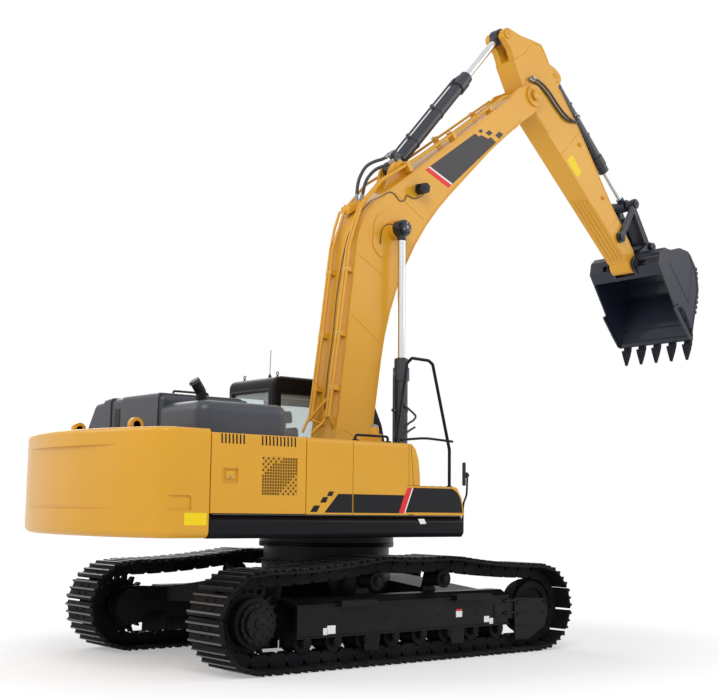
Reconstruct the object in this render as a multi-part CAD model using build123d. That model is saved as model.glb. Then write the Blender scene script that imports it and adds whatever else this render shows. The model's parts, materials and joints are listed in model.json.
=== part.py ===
from build123d import *
import math
import os

# A crawler excavator of the 33 tonne class.
# Frame: +X forward, +Y to the left (cab side), +Z up, origin on the slewing axis at ground level.
# Lengths are in millimetres, angles in degrees.

# Undercarriage
track_gauge = 2590
shoe_width = 600
tumbler_spacing = 4040
sprocket_height = 495
idler_height = 490
tumbler_rail_radius = 312
tumbler_joint_radius = 330
chain_height = 128
shoe_plate = 22
grouser_height = 30
shoe_count = 48
carrier_xs = (-420, 566)
carrier_height = 857
carrier_radius = 76
bottom_roller_count = 8
bottom_roller_radius = 96
rail_offset = 80
rail_width = 48
sprocket_teeth = 21
side_frame_width = 350
side_frame_wall = 26
side_frame_top = 650
side_frame_low = 316
carbody_top = 1030
carbody_radius = 760
ring_radius = 770
ring_split = 1180
deck_bottom = 1330
deck_top = 1560

# Upper structure
half_width = 1490
panel_top = 2345
panel_wall = 35
sheet_wall = 22
seam_gap = 8
tail_radius = 3450
counterweight_side = 502
counterweight_front = -round(math.sqrt(tail_radius ** 2 - half_width ** 2) - counterweight_side)
counterweight_corner = 180
seam_rear = counterweight_front + 10
seam_tank_rear = -1450
seam_tank_mid = -830
seam_tank_front = 30
front_edge = 800
counterweight_bottom = 1325
counterweight_top = 2375
lifting_eye_x = counterweight_front - 335
lifting_eye_y = 615
lifting_eye_radius = 75
lifting_eye_bore = 38
lifting_eye_thickness = 60
hood_front = -1470
hood_top = 2780
hood_right = -1250
hood_joint = -500
hood_left = 1185
bulge_top = 2680
bulge_corner = 150
hinge_pin_radius = 6
step_top = 1877

# Cab
cab_rear = -450
cab_front = 1410
cab_right = 505
cab_floor = 1605
cab_roof = 3210
cab_wall = 60
cab_height = cab_roof - cab_floor
cab_kink = cab_floor + round(0.6822 * cab_height)
cab_waist = cab_floor + round(0.4019 * cab_height)
brow_x = 1040
kink_x = 1300
window_top = cab_roof - 200
door_sill = cab_floor + round(0.433 * cab_height)
side_sill = cab_waist
rear_sill = cab_floor + round(0.4642 * cab_height)
glass_thickness = 8
door_rear_edge = 190
door_front_edge = 1130

# Front linkage, as it stands at rest
boom_foot = (95, 2120)
boom_length = 6249
boom_angle = 58.014
boom_half_width = 240
boom_plate = 14
boom_side = 300
boom_crest = (2711, 1502)
boom_hollow = (2600, 790)
arm_length = 3085
arm_angle = -42.767
arm_half_width = 175
bucket_angle = -60.997
bucket_half_width = 650
bucket_wall = 26
side_gap = 0.4
torque_tube = (-17, 120)
torque_tube_radius = 95
pin_clearance = 0.05
seat_gap = 0.3
pivot_inset = 8
cab_hinge_out = 14
cab_hinge_radius = 10
pivot_radius = 5
door_low_edge = 1564
left_door_split = -1552

boom_cylinder_foot = (815, 1560)
boom_cylinder_pin = (2876, 965)
boom_cylinder_y = 395
arm_cylinder_base = (3717, 1278)
arm_cylinder_eye = (-892, 272)
bucket_cylinder_base = (153, 755)
rocker_pivot = (arm_length - 486, 47)
rocker_end = (arm_length - 620, 693)
link_pin = (-94, 481)


def corner_data(corners, i):
    """Unit directions to both neighbours of a corner and half the angle between them."""
    before, here, after = corners[i - 1], corners[i], corners[(i + 1) % len(corners)]
    u = (before[0] - here[0], before[1] - here[1])
    v = (after[0] - here[0], after[1] - here[1])
    u_length, v_length = math.hypot(*u), math.hypot(*v)
    u = (u[0] / u_length, u[1] / u_length)
    v = (v[0] / v_length, v[1] / v_length)
    cosine = max(-1.0, min(1.0, u[0] * v[0] + u[1] * v[1]))
    return u, v, v_length, math.acos(cosine) / 2


def fitted_radii(corners):
    """Corner radii, made smaller where two neighbouring arcs would run into each other."""
    count = len(corners)
    radii = [c[2] if len(c) > 2 else 0 for c in corners]
    data = [corner_data(corners, i) for i in range(count)]
    for _ in range(3):
        for i in range(count):
            k = (i + 1) % count
            used = radii[i] / math.tan(data[i][3]) + radii[k] / math.tan(data[k][3])
            room = 0.98 * data[i][2]
            if used > room:
                radii[i] *= room / used
                radii[k] *= room / used
    return radii, data


def ring(corners, place):
    """Closed wire through (a, b) or (a, b, radius) corners, put in space by place(a, b)."""
    count = len(corners)
    radii, data = fitted_radii(corners)
    starts = []
    arcs = []
    for i, here in enumerate(corners):
        u, v, _, half = data[i]
        if radii[i] <= 0.5 or half > 0.4999 * math.pi:
            starts.append((here[:2], here[:2]))
            arcs.append(None)
            continue
        back = radii[i] / math.tan(half)
        enter = (here[0] + u[0] * back, here[1] + u[1] * back)
        leave = (here[0] + v[0] * back, here[1] + v[1] * back)
        middle_length = math.hypot(u[0] + v[0], u[1] + v[1])
        reach = radii[i] / math.sin(half) - radii[i]
        middle = (here[0] + (u[0] + v[0]) / middle_length * reach,
                  here[1] + (u[1] + v[1]) / middle_length * reach)
        starts.append((enter, leave))
        arcs.append(middle)
    edges = []
    for i in range(count):
        enter, leave = starts[i]
        if arcs[i] is not None:
            edges.append(Edge.make_three_point_arc(place(*enter), place(*arcs[i]), place(*leave)))
        following = starts[(i + 1) % count][0]
        if math.hypot(following[0] - leave[0], following[1] - leave[1]) > 0.001:
            edges.append(Edge.make_line(place(*leave), place(*following)))
    return Wire(edges)


def inset(corners, margin):
    """The same outline moved inwards by margin on every side."""
    count = len(corners)
    area = sum(corners[i - 1][0] * corners[i][1] - corners[i][0] * corners[i - 1][1]
               for i in range(count))
    side = 1 if area > 0 else -1
    lines = []
    for i in range(count):
        p, q = corners[i], corners[(i + 1) % count]
        length = math.hypot(q[0] - p[0], q[1] - p[1])
        d = ((q[0] - p[0]) / length, (q[1] - p[1]) / length)
        lines.append((p[0] - d[1] * margin * side, p[1] + d[0] * margin * side, d[0], d[1]))
    result = []
    for i in range(count):
        ax, ay, adx, ady = lines[i - 1]
        bx, by, bdx, bdy = lines[i]
        cross = adx * bdy - ady * bdx
        if abs(cross) < 1e-6:
            point = (bx, by)
        else:
            t = ((bx - ax) * bdy - (by - ay) * bdx) / cross
            point = (ax + adx * t, ay + ady * t)
        radius = corners[i][2] if len(corners[i]) > 2 else 0
        convex = cross * side > 0
        if radius > 0:
            radius = max(radius - margin, 1) if convex else radius + margin
        result.append((point[0], point[1], radius))
    return result


def plate(corners, y_low, y_high):
    """Solid with a side-view outline of (x, z) corners."""
    face = Face(ring(corners, lambda a, b: Vector(a, y_low, b)))
    return Solid.extrude(face, Vector(0, y_high - y_low, 0))


def slab(corners, z_low, z_high):
    """Solid with a plan outline of (x, y) corners."""
    face = Face(ring(corners, lambda a, b: Vector(a, b, z_low)))
    return Solid.extrude(face, Vector(0, 0, z_high - z_low))


def section(corners, x_low, x_high):
    """Solid with a front-view outline of (y, z) corners."""
    face = Face(ring(corners, lambda a, b: Vector(x_low, a, b)))
    return Solid.extrude(face, Vector(x_high - x_low, 0, 0))


def block(x_low, x_high, y_low, y_high, z_low, z_high):
    return slab([(x_low, y_low), (x_high, y_low), (x_high, y_high), (x_low, y_high)], z_low, z_high)


def drum(x, z, radius, y_low, y_high):
    """Cylinder lying across the machine."""
    plane = Plane(origin=(x, y_low, z), x_dir=(1, 0, 0), z_dir=(0, 1, 0))
    return Solid.make_cylinder(radius, y_high - y_low, plane)


def post(x, y, radius, z_low, z_high):
    return Solid.make_cylinder(radius, z_high - z_low, Plane(origin=(x, y, z_low), z_dir=(0, 0, 1)))


def rod_between(p, q, radius):
    p, q = Vector(*p), Vector(*q)
    return Solid.make_cylinder(radius, (q - p).length, Plane(origin=p, z_dir=q - p))


def bent_tube(points, radius, bend):
    """Round tube along straight runs joined by tangent arcs."""
    path = FilletPolyline(*points, radius=bend)
    start = Plane(origin=path @ 0, z_dir=path % 0)
    return sweep(start * Circle(radius), path=path).solid()


def mirrored(shape):
    return shape.mirror(Plane.XZ)


def both_sides(shape):
    return [shape, mirrored(shape)]


def fused(shapes):
    result = shapes[0]
    for shape in shapes[1:]:
        result = result + shape
    return result


class LinkFrame:
    """A flat frame in the side view: one axis along a link, one square to it."""

    def __init__(self, x, z, angle):
        self.x, self.z, self.angle = x, z, angle
        self.c, self.s = math.cos(math.radians(angle)), math.sin(math.radians(angle))

    def at(self, along, above):
        return (self.x + along * self.c - above * self.s, self.z + along * self.s + above * self.c)

    def outline(self, corners):
        return [(*self.at(c[0], c[1]), c[2] if len(c) > 2 else 0) for c in corners]


def toward(p, q):
    """Frame at p with its long axis through q, and the distance between them."""
    angle = math.degrees(math.atan2(q[1] - p[1], q[0] - p[0]))
    return LinkFrame(p[0], p[1], angle), math.hypot(q[0] - p[0], q[1] - p[1])


boom_frame = LinkFrame(*boom_foot, boom_angle)
arm_pin = boom_frame.at(boom_length, 0)
arm_frame = LinkFrame(*arm_pin, arm_angle)
bucket_pin = arm_frame.at(arm_length, 0)
bucket_frame = LinkFrame(*bucket_pin, bucket_angle)

boom_cylinder_top = boom_frame.at(*boom_cylinder_pin)
arm_cylinder_foot = boom_frame.at(*arm_cylinder_base)
arm_cylinder_top = arm_frame.at(*arm_cylinder_eye)
bucket_cylinder_foot = arm_frame.at(*bucket_cylinder_base)
rocker_pin = arm_frame.at(*rocker_pivot)
rocker_top = arm_frame.at(*rocker_end)
link_foot = bucket_frame.at(*link_pin)

parts = {}

# Track loop: the rail line runs over sprocket, carrier rollers, idler and ground
shoe_depth = chain_height + shoe_plate + grouser_height
sprocket_x = -tumbler_spacing / 2
idler_x = tumbler_spacing / 2
roller_reach = tumbler_spacing / 2 - 620
roller_tread = rail_offset + rail_width / 2 + 2
roller_end = roller_tread + 18
roller_flange = 16
frame_rear = sprocket_x + 490
frame_front = idler_x - 480
guide_xs = (frame_rear + 1002, frame_front - 814)
ledge_spans = ((frame_rear + 525, frame_rear + 1010), (frame_front - 900, frame_front - 345))
top_sag = 30
joint_rise = 14


def rail_gap(x, z, stations):
    """Least distance from a wheel centre to the rail line."""
    best = 1e9
    for i, p in enumerate(stations):
        q = stations[(i + 1) % len(stations)]
        length = math.dist(p, q)
        d = ((q[0] - p[0]) / length, (q[1] - p[1]) / length)
        t = max(0, min(length, (x - p[0]) * d[0] + (z - p[1]) * d[1]))
        best = min(best, math.dist((x, z), (p[0] + d[0] * t, p[1] + d[1] * t)))
    return best


def rail_line():
    """Points on the rail side of the chain, all round, starting at the rear bottom."""
    low = shoe_depth
    points = []
    steps = 24
    for i in range(steps + 1):
        turn = math.radians(270 - 180 * i / steps)
        points.append((sprocket_x + tumbler_joint_radius * math.cos(turn),
                       sprocket_height + tumbler_joint_radius * math.sin(turn)))
    crown = carrier_height + carrier_radius + joint_rise
    supports = [(sprocket_x, sprocket_height + tumbler_joint_radius), (carrier_xs[0], crown),
                (carrier_xs[1], crown), (idler_x, idler_height + tumbler_joint_radius)]
    for (x0, z0), (x1, z1) in zip(supports, supports[1:]):
        for k in range(1, 9):
            t = k / 8
            sag = top_sag * 4 * t * (1 - t) * (x1 - x0) / 1600
            points.append((x0 + (x1 - x0) * t, z0 + (z1 - z0) * t - sag))
    for i in range(1, steps + 1):
        turn = math.radians(90 - 180 * i / steps)
        points.append((idler_x + tumbler_joint_radius * math.cos(turn),
                       idler_height + tumbler_joint_radius * math.sin(turn)))
    points[0] = (points[0][0], low)
    points[-1] = (points[-1][0], low)
    return points


def evenly(points, count):
    """Count stations at equal spacing along the closed line through points."""
    closed = points + [points[0]]
    lengths = [math.dist(p, q) for p, q in zip(closed, closed[1:])]
    pitch = sum(lengths) / count
    stations = []
    travelled, target = 0, 0
    for (p, q), length in zip(zip(closed, closed[1:]), lengths):
        while target <= travelled + length and len(stations) < count:
            t = (target - travelled) / length
            stations.append((p[0] + (q[0] - p[0]) * t, p[1] + (q[1] - p[1]) * t))
            target += pitch
        travelled += length
    return stations


def shoe_loop():
    """Outer outline with three bars to a shoe, shoe seat line and rail line of the track."""
    stations = evenly(rail_line(), shoe_count)
    outer, seat = [], []
    top = chain_height + shoe_plate
    tip = top + grouser_height
    for i, p in enumerate(stations):
        q = stations[(i + 1) % shoe_count]
        length = math.dist(p, q)
        t = ((q[0] - p[0]) / length, (q[1] - p[1]) / length)
        n = (-t[1], t[0])
        # share of the pitch, height: joint, leading bar, middle bar, trailing bar
        profile = [(0.0, top), (0.05, tip), (0.13, tip), (0.19, top),
                   (0.43, top), (0.47, tip), (0.54, tip), (0.58, top),
                   (0.82, top), (0.87, tip), (0.95, tip)]
        for along, out in profile:
            outer.append((p[0] + t[0] * along * length + n[0] * out,
                          p[1] + t[1] * along * length + n[1] * out))
        seat.append((p[0] + n[0] * chain_height, p[1] + n[1] * chain_height))
    return outer, seat, stations


def make_tracks():
    outer, seat, rail = shoe_loop()
    centre = track_gauge / 2
    shoes = plate(outer, centre - shoe_width / 2, centre + shoe_width / 2)
    shoes = shoes - plate(seat, centre - shoe_width / 2 - 5, centre + shoe_width / 2 + 5)
    chains = []
    for side in (-1, 1):
        middle = centre + side * rail_offset
        links = plate(seat, middle - rail_width / 2, middle + rail_width / 2)
        chains.append(links - plate(rail, middle - rail_width, middle + rail_width))
    track = fused([shoes] + chains)
    parts["track_left"] = track
    parts["track_right"] = mirrored(track)


def roller_body(x, z, radius):
    """Track roller on its tread, with a flange outside each rail."""
    centre = track_gauge / 2
    body = drum(x, z, radius, centre - roller_end, centre + roller_end)
    for side in (-1, 1):
        low, high = sorted((centre + side * roller_tread, centre + side * roller_end))
        body = body + drum(x, z, radius + roller_flange, low, high)
    return body


def bottom_roller_xs():
    step = 2 * roller_reach / (bottom_roller_count - 1)
    return [-roller_reach + step * i for i in range(bottom_roller_count)]


def make_rollers():
    centre = track_gauge / 2
    bottom, carriers = [], []
    for x in bottom_roller_xs():
        z = shoe_depth + bottom_roller_radius + side_gap
        bottom += both_sides(roller_body(x, z, bottom_roller_radius))
    stations = evenly(rail_line(), shoe_count)
    for x in carrier_xs:
        radius = rail_gap(x, carrier_height, stations) - side_gap
        cap = drum(x, carrier_height, radius * 0.6, centre + roller_end - 2, centre + roller_end + 20)
        carriers += both_sides(roller_body(x, carrier_height, radius) + cap)
    parts["bottom_rollers"] = bottom
    parts["carrier_rollers"] = carriers


def make_sprockets():
    centre = track_gauge / 2
    tooth_face = rail_offset - rail_width / 2 - 10
    root = tumbler_rail_radius - 22
    tip = tumbler_rail_radius + 46
    outline = []
    for i in range(sprocket_teeth):
        turn = 360 / sprocket_teeth
        for share, radius in ((0.0, root), (0.25, root), (0.42, tip), (0.58, tip), (0.75, root)):
            a = math.radians(turn * (i + share))
            outline.append((sprocket_x + radius * math.cos(a), sprocket_height + radius * math.sin(a)))
    wheel = plate(outline, centre - tooth_face, centre + tooth_face)
    flange = drum(sprocket_x, sprocket_height, 245, centre - tooth_face, centre + 170)
    parts["sprockets"] = both_sides(wheel + flange)
    cover = drum(sprocket_x, sprocket_height, 200, centre + 170, centre + 215)
    cap = drum(sprocket_x, sprocket_height, 150, centre + 215, centre + 245)
    motor = drum(sprocket_x, sprocket_height, 190, centre - 330, centre - tooth_face)
    parts["final_drives"] = both_sides(cover + cap) + both_sides(motor)


def make_idlers():
    centre = track_gauge / 2
    radius = rail_gap(idler_x, idler_height, evenly(rail_line(), shoe_count)) - side_gap
    wheel = drum(idler_x, idler_height, radius, centre - roller_tread, centre + roller_tread)
    inner = rail_offset - rail_width / 2 - 4
    wheel = wheel + drum(idler_x, idler_height, radius + 20, centre - inner, centre + inner)
    web = radius * 0.75
    recess = drum(idler_x, idler_height, web, centre + roller_tread - 30, centre + roller_tread + 5)
    recess_in = drum(idler_x, idler_height, web, centre - roller_tread - 5, centre - roller_tread + 30)
    hub = drum(idler_x, idler_height, 90, centre - 165, centre + 165)
    parts["idlers"] = both_sides(wheel - recess - recess_in + hub)


def make_side_frames():
    centre = track_gauge / 2
    rear, front = frame_rear, frame_front
    w = side_frame_width / 2
    wall = side_frame_wall
    box = section([(centre - w, side_frame_low), (centre - w, side_frame_top),
                   (centre - w + 60, side_frame_top + 60),
                   (centre + w - 110, side_frame_top + 60), (centre + w, side_frame_top),
                   (centre + w, side_frame_low)], rear, front)
    channel = section([(centre - w + wall, side_frame_low - 5), (centre - w + wall, side_frame_top - wall),
                       (centre + w - wall, side_frame_top - wall),
                       (centre + w - wall, side_frame_low - 5)], rear - 5, front + 5)
    frame = box - channel
    # lips round the outer plate, and step ledges above it
    lip = 14
    for z_low in (side_frame_low, side_frame_top - lip):
        frame = frame + block(rear, front, centre + w - 2, centre + w + 22, z_low, z_low + lip)
    frame = frame + block(rear, rear + lip, centre + w - 2, centre + w + 22, side_frame_low, side_frame_top)
    for x_low, x_high in ledge_spans:
        frame = frame + block(x_low, x_high, centre + w - 30, centre + w + 80, side_frame_top - 30,
                              side_frame_top + 28)
    # sprocket end: inner plate that carries the motor
    mount = plate([(rear - 20, 330), (rear + 150, 330), (rear + 150, 700), (rear - 20, 700),
                   (sprocket_x - 60, sprocket_height + 230, 90), (sprocket_x - 250, sprocket_height, 120),
                   (sprocket_x - 60, sprocket_height - 230, 90)],
                  centre - w, centre - w + 40)
    mount = mount - drum(sprocket_x, sprocket_height, 190.1, centre - w - 5, centre - w + 45)
    frame = frame + mount
    # idler end: two fork arms beside the idler and a shield outside them
    for y_low in (centre - w, centre + w - 40):
        arm = plate([(front - 150, 380), (front - 150, 610), (idler_x + 90, 590, 60),
                     (idler_x + 130, idler_height, 60), (idler_x + 90, 395, 60)], y_low, y_low + 40)
        frame = frame + (arm - drum(idler_x, idler_height, 90.05, y_low - 5, y_low + 45))
    shield = plate([(front + 95, 350), (front + 95, 615, 20), (idler_x + 60, 600, 80),
                    (idler_x + 215, idler_height, 160), (idler_x + 130, 270, 120), (front + 320, 130, 60),
                    (front + 95, 140, 20)], centre + w - 2, centre + w + 20)
    frame = frame + shield
    # carrier roller brackets
    for x in carrier_xs:
        bracket = plate([(x - 110, side_frame_top + 40), (x + 110, side_frame_top + 40),
                         (x + 45, carrier_height + 20, 20), (x - 45, carrier_height + 20, 20)],
                        centre - w + 5, centre - roller_end - side_gap)
        frame = frame + bracket
    # roller axles across the channel, with their collars
    z = shoe_depth + bottom_roller_radius + side_gap
    for x in bottom_roller_xs():
        for side in (-1, 1):
            low, high = sorted((centre + side * (roller_end + side_gap), centre + side * (w - wall + 1)))
            hanger = plate([(x - 58, z), (x + 58, z), (x + 58, side_frame_low + 40),
                            (x - 58, side_frame_low + 40)],
                           low, high)
            frame = frame + hanger + drum(x, z, 58, low, high)
            low, high = sorted((centre + side * (w - wall), centre + side * (w + 6)))
            frame = frame + drum(x, z, 50, low, high)
    # guides that keep the chain under the rollers
    for x in guide_xs:
        for side in (-1, 1):
            low, high = sorted((centre + side * (w - wall), centre + side * w))
            frame = frame + plate([(x - 115, side_frame_low + 5), (x - 95, 150, 20), (x + 95, 150, 20),
                                   (x + 115, side_frame_low + 5)], low, high)
    parts["track_frame_left"] = frame
    parts["track_frame_right"] = mirrored(frame)


def make_carbody():
    centre = track_gauge / 2
    inner = centre - side_frame_width / 2
    hub = post(0, 0, carbody_radius, 560, carbody_top)
    reach = tumbler_spacing / 2 - 540
    legs = []
    for sx in (-1, 1):
        for sy in (-1, 1):
            leg = slab([(sx * 100, sy * 150), (sx * 720, sy * 150), (sx * reach, sy * inner),
                        (sx * (reach - 660), sy * inner)], 530, 860)
            slope = section([(sy * 300, 865), (sy * 420, 850), (sy * inner, side_frame_top + 40),
                             (sy * (inner + 20), side_frame_top + 40), (sy * (inner + 20), 865)],
                            -reach - 10, reach + 10)
            legs.append(leg - slope)
    body = fused([hub] + legs) - post(0, 0, 300, 500, carbody_top + 5)
    parts["carbody"] = body
    lower = post(0, 0, ring_radius - 30, carbody_top, ring_split)
    lower = lower - post(0, 0, ring_radius - 130, carbody_top - 5, ring_split + 5)
    parts["slew_ring_lower"] = lower
    upper = post(0, 0, ring_radius + 20, ring_split + side_gap, deck_bottom)
    parts["slew_ring_upper"] = upper - post(0, 0, ring_radius - 90, ring_split - 5, deck_bottom + 5)


def make_deck():
    inner = half_width - 90
    front = front_edge - 30
    wall = 25
    deck = block(counterweight_front, front, -inner, inner, deck_bottom, deck_top)
    # the boom passes down between the two centre beams
    deck = deck - block(430, front + 5, -boom_side, boom_side, deck_top - 140, deck_top + 5)
    for x_low, x_high in ((counterweight_front + wall, -1000), (-1000 + wall, 430 - wall)):
        deck = deck - block(x_low, x_high, -inner + wall, inner - wall, deck_bottom + wall, deck_top - wall)
    for side in (-1, 1):
        low, high = sorted((side * (inner - wall), side * (boom_side + 180)))
        deck = deck - block(430, front - wall, low, high, deck_bottom + wall, deck_top - wall)
    beams = []
    outline = [(-470, deck_top - 10), (-470, deck_top + 60), (boom_foot[0] - 250, boom_foot[1] + 60, 90),
               (boom_foot[0] - 60, boom_foot[1] + 215, 150), (boom_foot[0] + 200, boom_foot[1] + 150, 150),
               (boom_foot[0] + 330, deck_top + 60, 80), (front - 60, deck_top + 20),
               (front - 60, deck_top - 10)]
    for side in (-1, 1):
        low, high = sorted((side * (boom_side + side_gap), side * (boom_side + 50)))
        beams.append(plate(outline, low, high))
    feet = [post(x, y, 60, deck_top - 5, cab_floor) for x in (cab_rear + 120, cab_front - 250)
            for y in (cab_right + 110, half_width - 200)]
    stand = block(front - 5, cab_front - 20, cab_right + 10, inner, deck_bottom + 50, deck_top)
    stand = stand - block(front + wall, cab_front - 20 - wall, cab_right + 10 + wall, inner - wall,
                          deck_bottom + 50 + wall, deck_top - wall)
    deck = fused([deck] + beams + feet + [stand])
    deck = deck - drum(*boom_foot, 60 + pin_clearance, -500, 500)
    # room for the feet of the boom cylinders
    x, z = boom_cylinder_foot
    for side in (-1, 1):
        y = side * boom_cylinder_y
        deck = deck - drum(x, z, 125, y - 55 - side_gap, y + 55 + side_gap)
    for side in (-1, 1):
        for offset in (-(55 + side_gap + 35), 55 + side_gap):
            y_low = side * boom_cylinder_y + offset
            ear = plate([(front - 5, deck_bottom + 20), (front - 5, deck_top - 20), (x - 20, z + 95, 70),
                         (x + 95, z + 60, 70), (x + 80, z - 90, 60), (x - 10, deck_bottom + 20)],
                        y_low, y_low + 35)
            deck = deck + ear
        y = side * boom_cylinder_y
        deck = deck - drum(x, z, 50 + pin_clearance, y - 105, y + 105)
    parts["upper_deck"] = deck
    pins = [drum(*boom_foot, 60, -boom_side - 80, boom_side + 80)]
    for side in (-1, 1):
        y = side * boom_cylinder_y
        pins.append(drum(x, z, 50, y - 100, y + 100))
    parts["deck_pins"] = pins


def make_skirts():
    inner = half_width - 90 + side_gap
    outline = [(inner, deck_bottom - 10), (half_width - 35, deck_bottom - 10, 25),
               (half_width, deck_bottom + 40, 25), (half_width, deck_top - 70, 30),
               (half_width - 60, deck_top - side_gap), (inner, deck_top - side_gap)]
    left_skirt = section(outline, seam_rear, cab_front - 10)
    right_skirt = mirrored(section(outline, seam_rear, front_edge))
    parts["side_skirts"] = [left_skirt, right_skirt]


def make_counterweight():
    disc = post(0, 0, tail_radius, counterweight_bottom, counterweight_top)
    bounds = block(-tail_radius - 50, counterweight_front, -half_width, half_width,
                   counterweight_bottom - 5, counterweight_top + 5)
    body = (disc & bounds).solid()
    corners = body.edges().filter_by(Axis.Z).sort_by(Axis.X)[:2]
    body = body.fillet(counterweight_corner, corners)
    rim = [e for e in body.edges() if e.center().Z > counterweight_top - 1
           and e.center().X < counterweight_front - 5]
    body = body.fillet(45, rim)
    rim = [e for e in body.edges() if e.center().Z < counterweight_bottom + 1
           and e.center().X < counterweight_front - 5]
    body = body.fillet(70, rim)
    # flatter band across the rear face
    band_depth, band_half = 28, 950
    chord_drop = tail_radius - math.sqrt(tail_radius ** 2 - band_half ** 2) - band_depth
    band_radius = band_half ** 2 / (2 * chord_drop) + chord_drop / 2
    band_low, band_high = counterweight_bottom + 265, counterweight_top - 165
    band = block(-tail_radius - 60, -tail_radius + 400, -1200, 1200, band_low, band_high)
    band = band - post(-tail_radius + band_depth + band_radius, 0, band_radius, band_low - 90, band_high + 90)
    body = body - band
    # shallow pocket low on each side
    pocket = plate([(counterweight_front - 200, band_low), (counterweight_front - 200, band_low + 140, 30),
                    (counterweight_front - 620, band_low + 140, 40), (counterweight_front - 700, band_low)],
                   -half_width - 5, -half_width + 16)
    parts["counterweight"] = body - pocket - mirrored(pocket)
    eyes = []
    for side in (-1, 1):
        y = side * lifting_eye_y
        low, high = y - lifting_eye_thickness / 2, y + lifting_eye_thickness / 2
        z = counterweight_top + 55
        eye = drum(lifting_eye_x, z, lifting_eye_radius, low, high)
        foot = block(lifting_eye_x - lifting_eye_radius, lifting_eye_x + lifting_eye_radius, low, high,
                     counterweight_top, z)
        eye = (eye - block(lifting_eye_x - 100, lifting_eye_x + 100, low - 5, high + 5,
                           counterweight_top - 100, counterweight_top)) + foot
        eyes.append(eye - drum(lifting_eye_x, z, lifting_eye_bore, low - 5, high + 5))
    parts["lifting_eyes"] = eyes


def shell_box(x_low, x_high, y_low, y_high, z_low, z_high, wall):
    """Closed sheet box with its void inside."""
    outer = block(x_low, x_high, y_low, y_high, z_low, z_high)
    return outer - block(x_low + wall, x_high - wall, y_low + wall, y_high - wall, z_low + wall,
                         z_high - wall)


def make_tanks():
    y_in = -560
    outer = block(seam_tank_rear + seam_gap, seam_tank_mid - seam_gap / 2, -half_width, y_in,
                  deck_top, panel_top)
    edge = [e for e in outer.edges() if e.center().Z > panel_top - 1 and abs(e.center().Y + half_width) < 1]
    outer = outer.fillet(50, edge)
    void = block(seam_tank_rear + seam_gap + sheet_wall, seam_tank_mid - seam_gap / 2 - sheet_wall,
                 -half_width + sheet_wall + 45, y_in - sheet_wall, deck_top + sheet_wall,
                 panel_top - sheet_wall - 45)
    parts["hydraulic_tank"] = outer - void
    outer = block(seam_tank_mid + seam_gap / 2, seam_tank_front, -half_width, y_in, deck_top, panel_top)
    edge = [e for e in outer.edges() if abs(e.center().X - seam_tank_front) < 1
            and abs(e.center().Y + half_width) < 1]
    outer = outer.fillet(110, edge)
    edge = [e for e in outer.edges() if e.center().Z > panel_top - 1 and e.center().Y < -half_width + 80]
    outer = outer.fillet(50, edge)
    void = block(seam_tank_mid + seam_gap / 2 + sheet_wall, seam_tank_front - 130,
                 -half_width + sheet_wall + 45, y_in - sheet_wall, deck_top + sheet_wall,
                 panel_top - sheet_wall - 45)
    filler = block(-400, -240, -1260, -1120, panel_top, panel_top + 95)
    parts["fuel_tank"] = outer - void + filler
    outline = [(seam_tank_front + seam_gap, deck_top), (seam_tank_front + seam_gap, step_top),
               (front_edge - 110, step_top, 60), (front_edge - 30, step_top - 127, 60),
               (front_edge + 5, deck_top)]
    void = inset([(c[0], c[1]) for c in outline], 20)
    toolbox = plate(outline, -half_width, -720) - plate(void, -half_width + 20, -740)
    parts["toolbox"] = toolbox


def make_engine_bay():
    """Frame that carries hood, doors and service decks round the engine."""
    thick = 30
    y_right_strip = hood_right
    y_left_strip = hood_left + 15
    y_bay = 1110
    pieces = []
    wall_front = seam_tank_rear - 2
    # right strip above the pump door, left service deck, bulkheads
    pieces.append(block(seam_rear, wall_front, -half_width + 60, y_right_strip, panel_top - thick, panel_top))
    pieces.append(block(seam_rear, cab_rear - 70, y_left_strip, half_width - 60, panel_top - thick,
                        panel_top))
    pieces.append(block(wall_front, cab_rear - 70, y_bay, y_left_strip + 1, panel_top - thick, panel_top))
    pieces.append(block(wall_front - 40, wall_front, -half_width + 60, y_left_strip + 1, deck_top, panel_top))
    pieces.append(block(cab_rear - 110, cab_rear - 70, 500, half_width - 60, deck_top, panel_top))
    pieces.append(block(wall_front - 40, cab_rear - 70, y_bay - thick, y_bay, deck_top, panel_top))
    pieces.append(block(seam_rear, seam_rear + 60, y_left_strip, half_width - 60, deck_top, panel_top))
    pieces.append(block(seam_rear, seam_rear + 60, -half_width + 60, y_right_strip, deck_top, panel_top))
    frame = fused(pieces)
    # lugs and pins of the engine hood's hinge
    x, z = hood_hinge
    for y in hood_knuckle_ys:
        for low in (y - knuckle_half - side_gap - 12, y + knuckle_half + side_gap):
            frame = frame + block(x - 8, x + 8, low, low + 12, panel_top - 5, z + 8)
        frame = frame + drum(x, z, hinge_pin_radius, y - knuckle_half - side_gap - 12,
                             y + knuckle_half + side_gap + 12)
    parts["engine_bay_frame"] = frame
    seats = [pivot_seat(pump_door_pivot, -1), pivot_seat(left_rear_pivot, 1), pivot_seat(left_front_pivot, 1)]
    parts["door_pivot_seats"] = [seat - frame for seat in seats]
    parts["valve_cover"] = shell_box(seam_tank_rear + 12, cab_rear - 70, -540, 480, deck_top,
                                     panel_top - 105, sheet_wall)
    parts["engine"] = block(seam_rear + 150, seam_tank_rear - 270, hood_joint - 60, 720, deck_top,
                            panel_top - 15)


hood_hinge = (hood_front + 12, panel_top + 17)
hood_knuckle_ys = (-200, 900)
knuckle_half = 50
hood_rear = seam_rear + 10
stack_place = (seam_rear + 250, -880)


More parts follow.
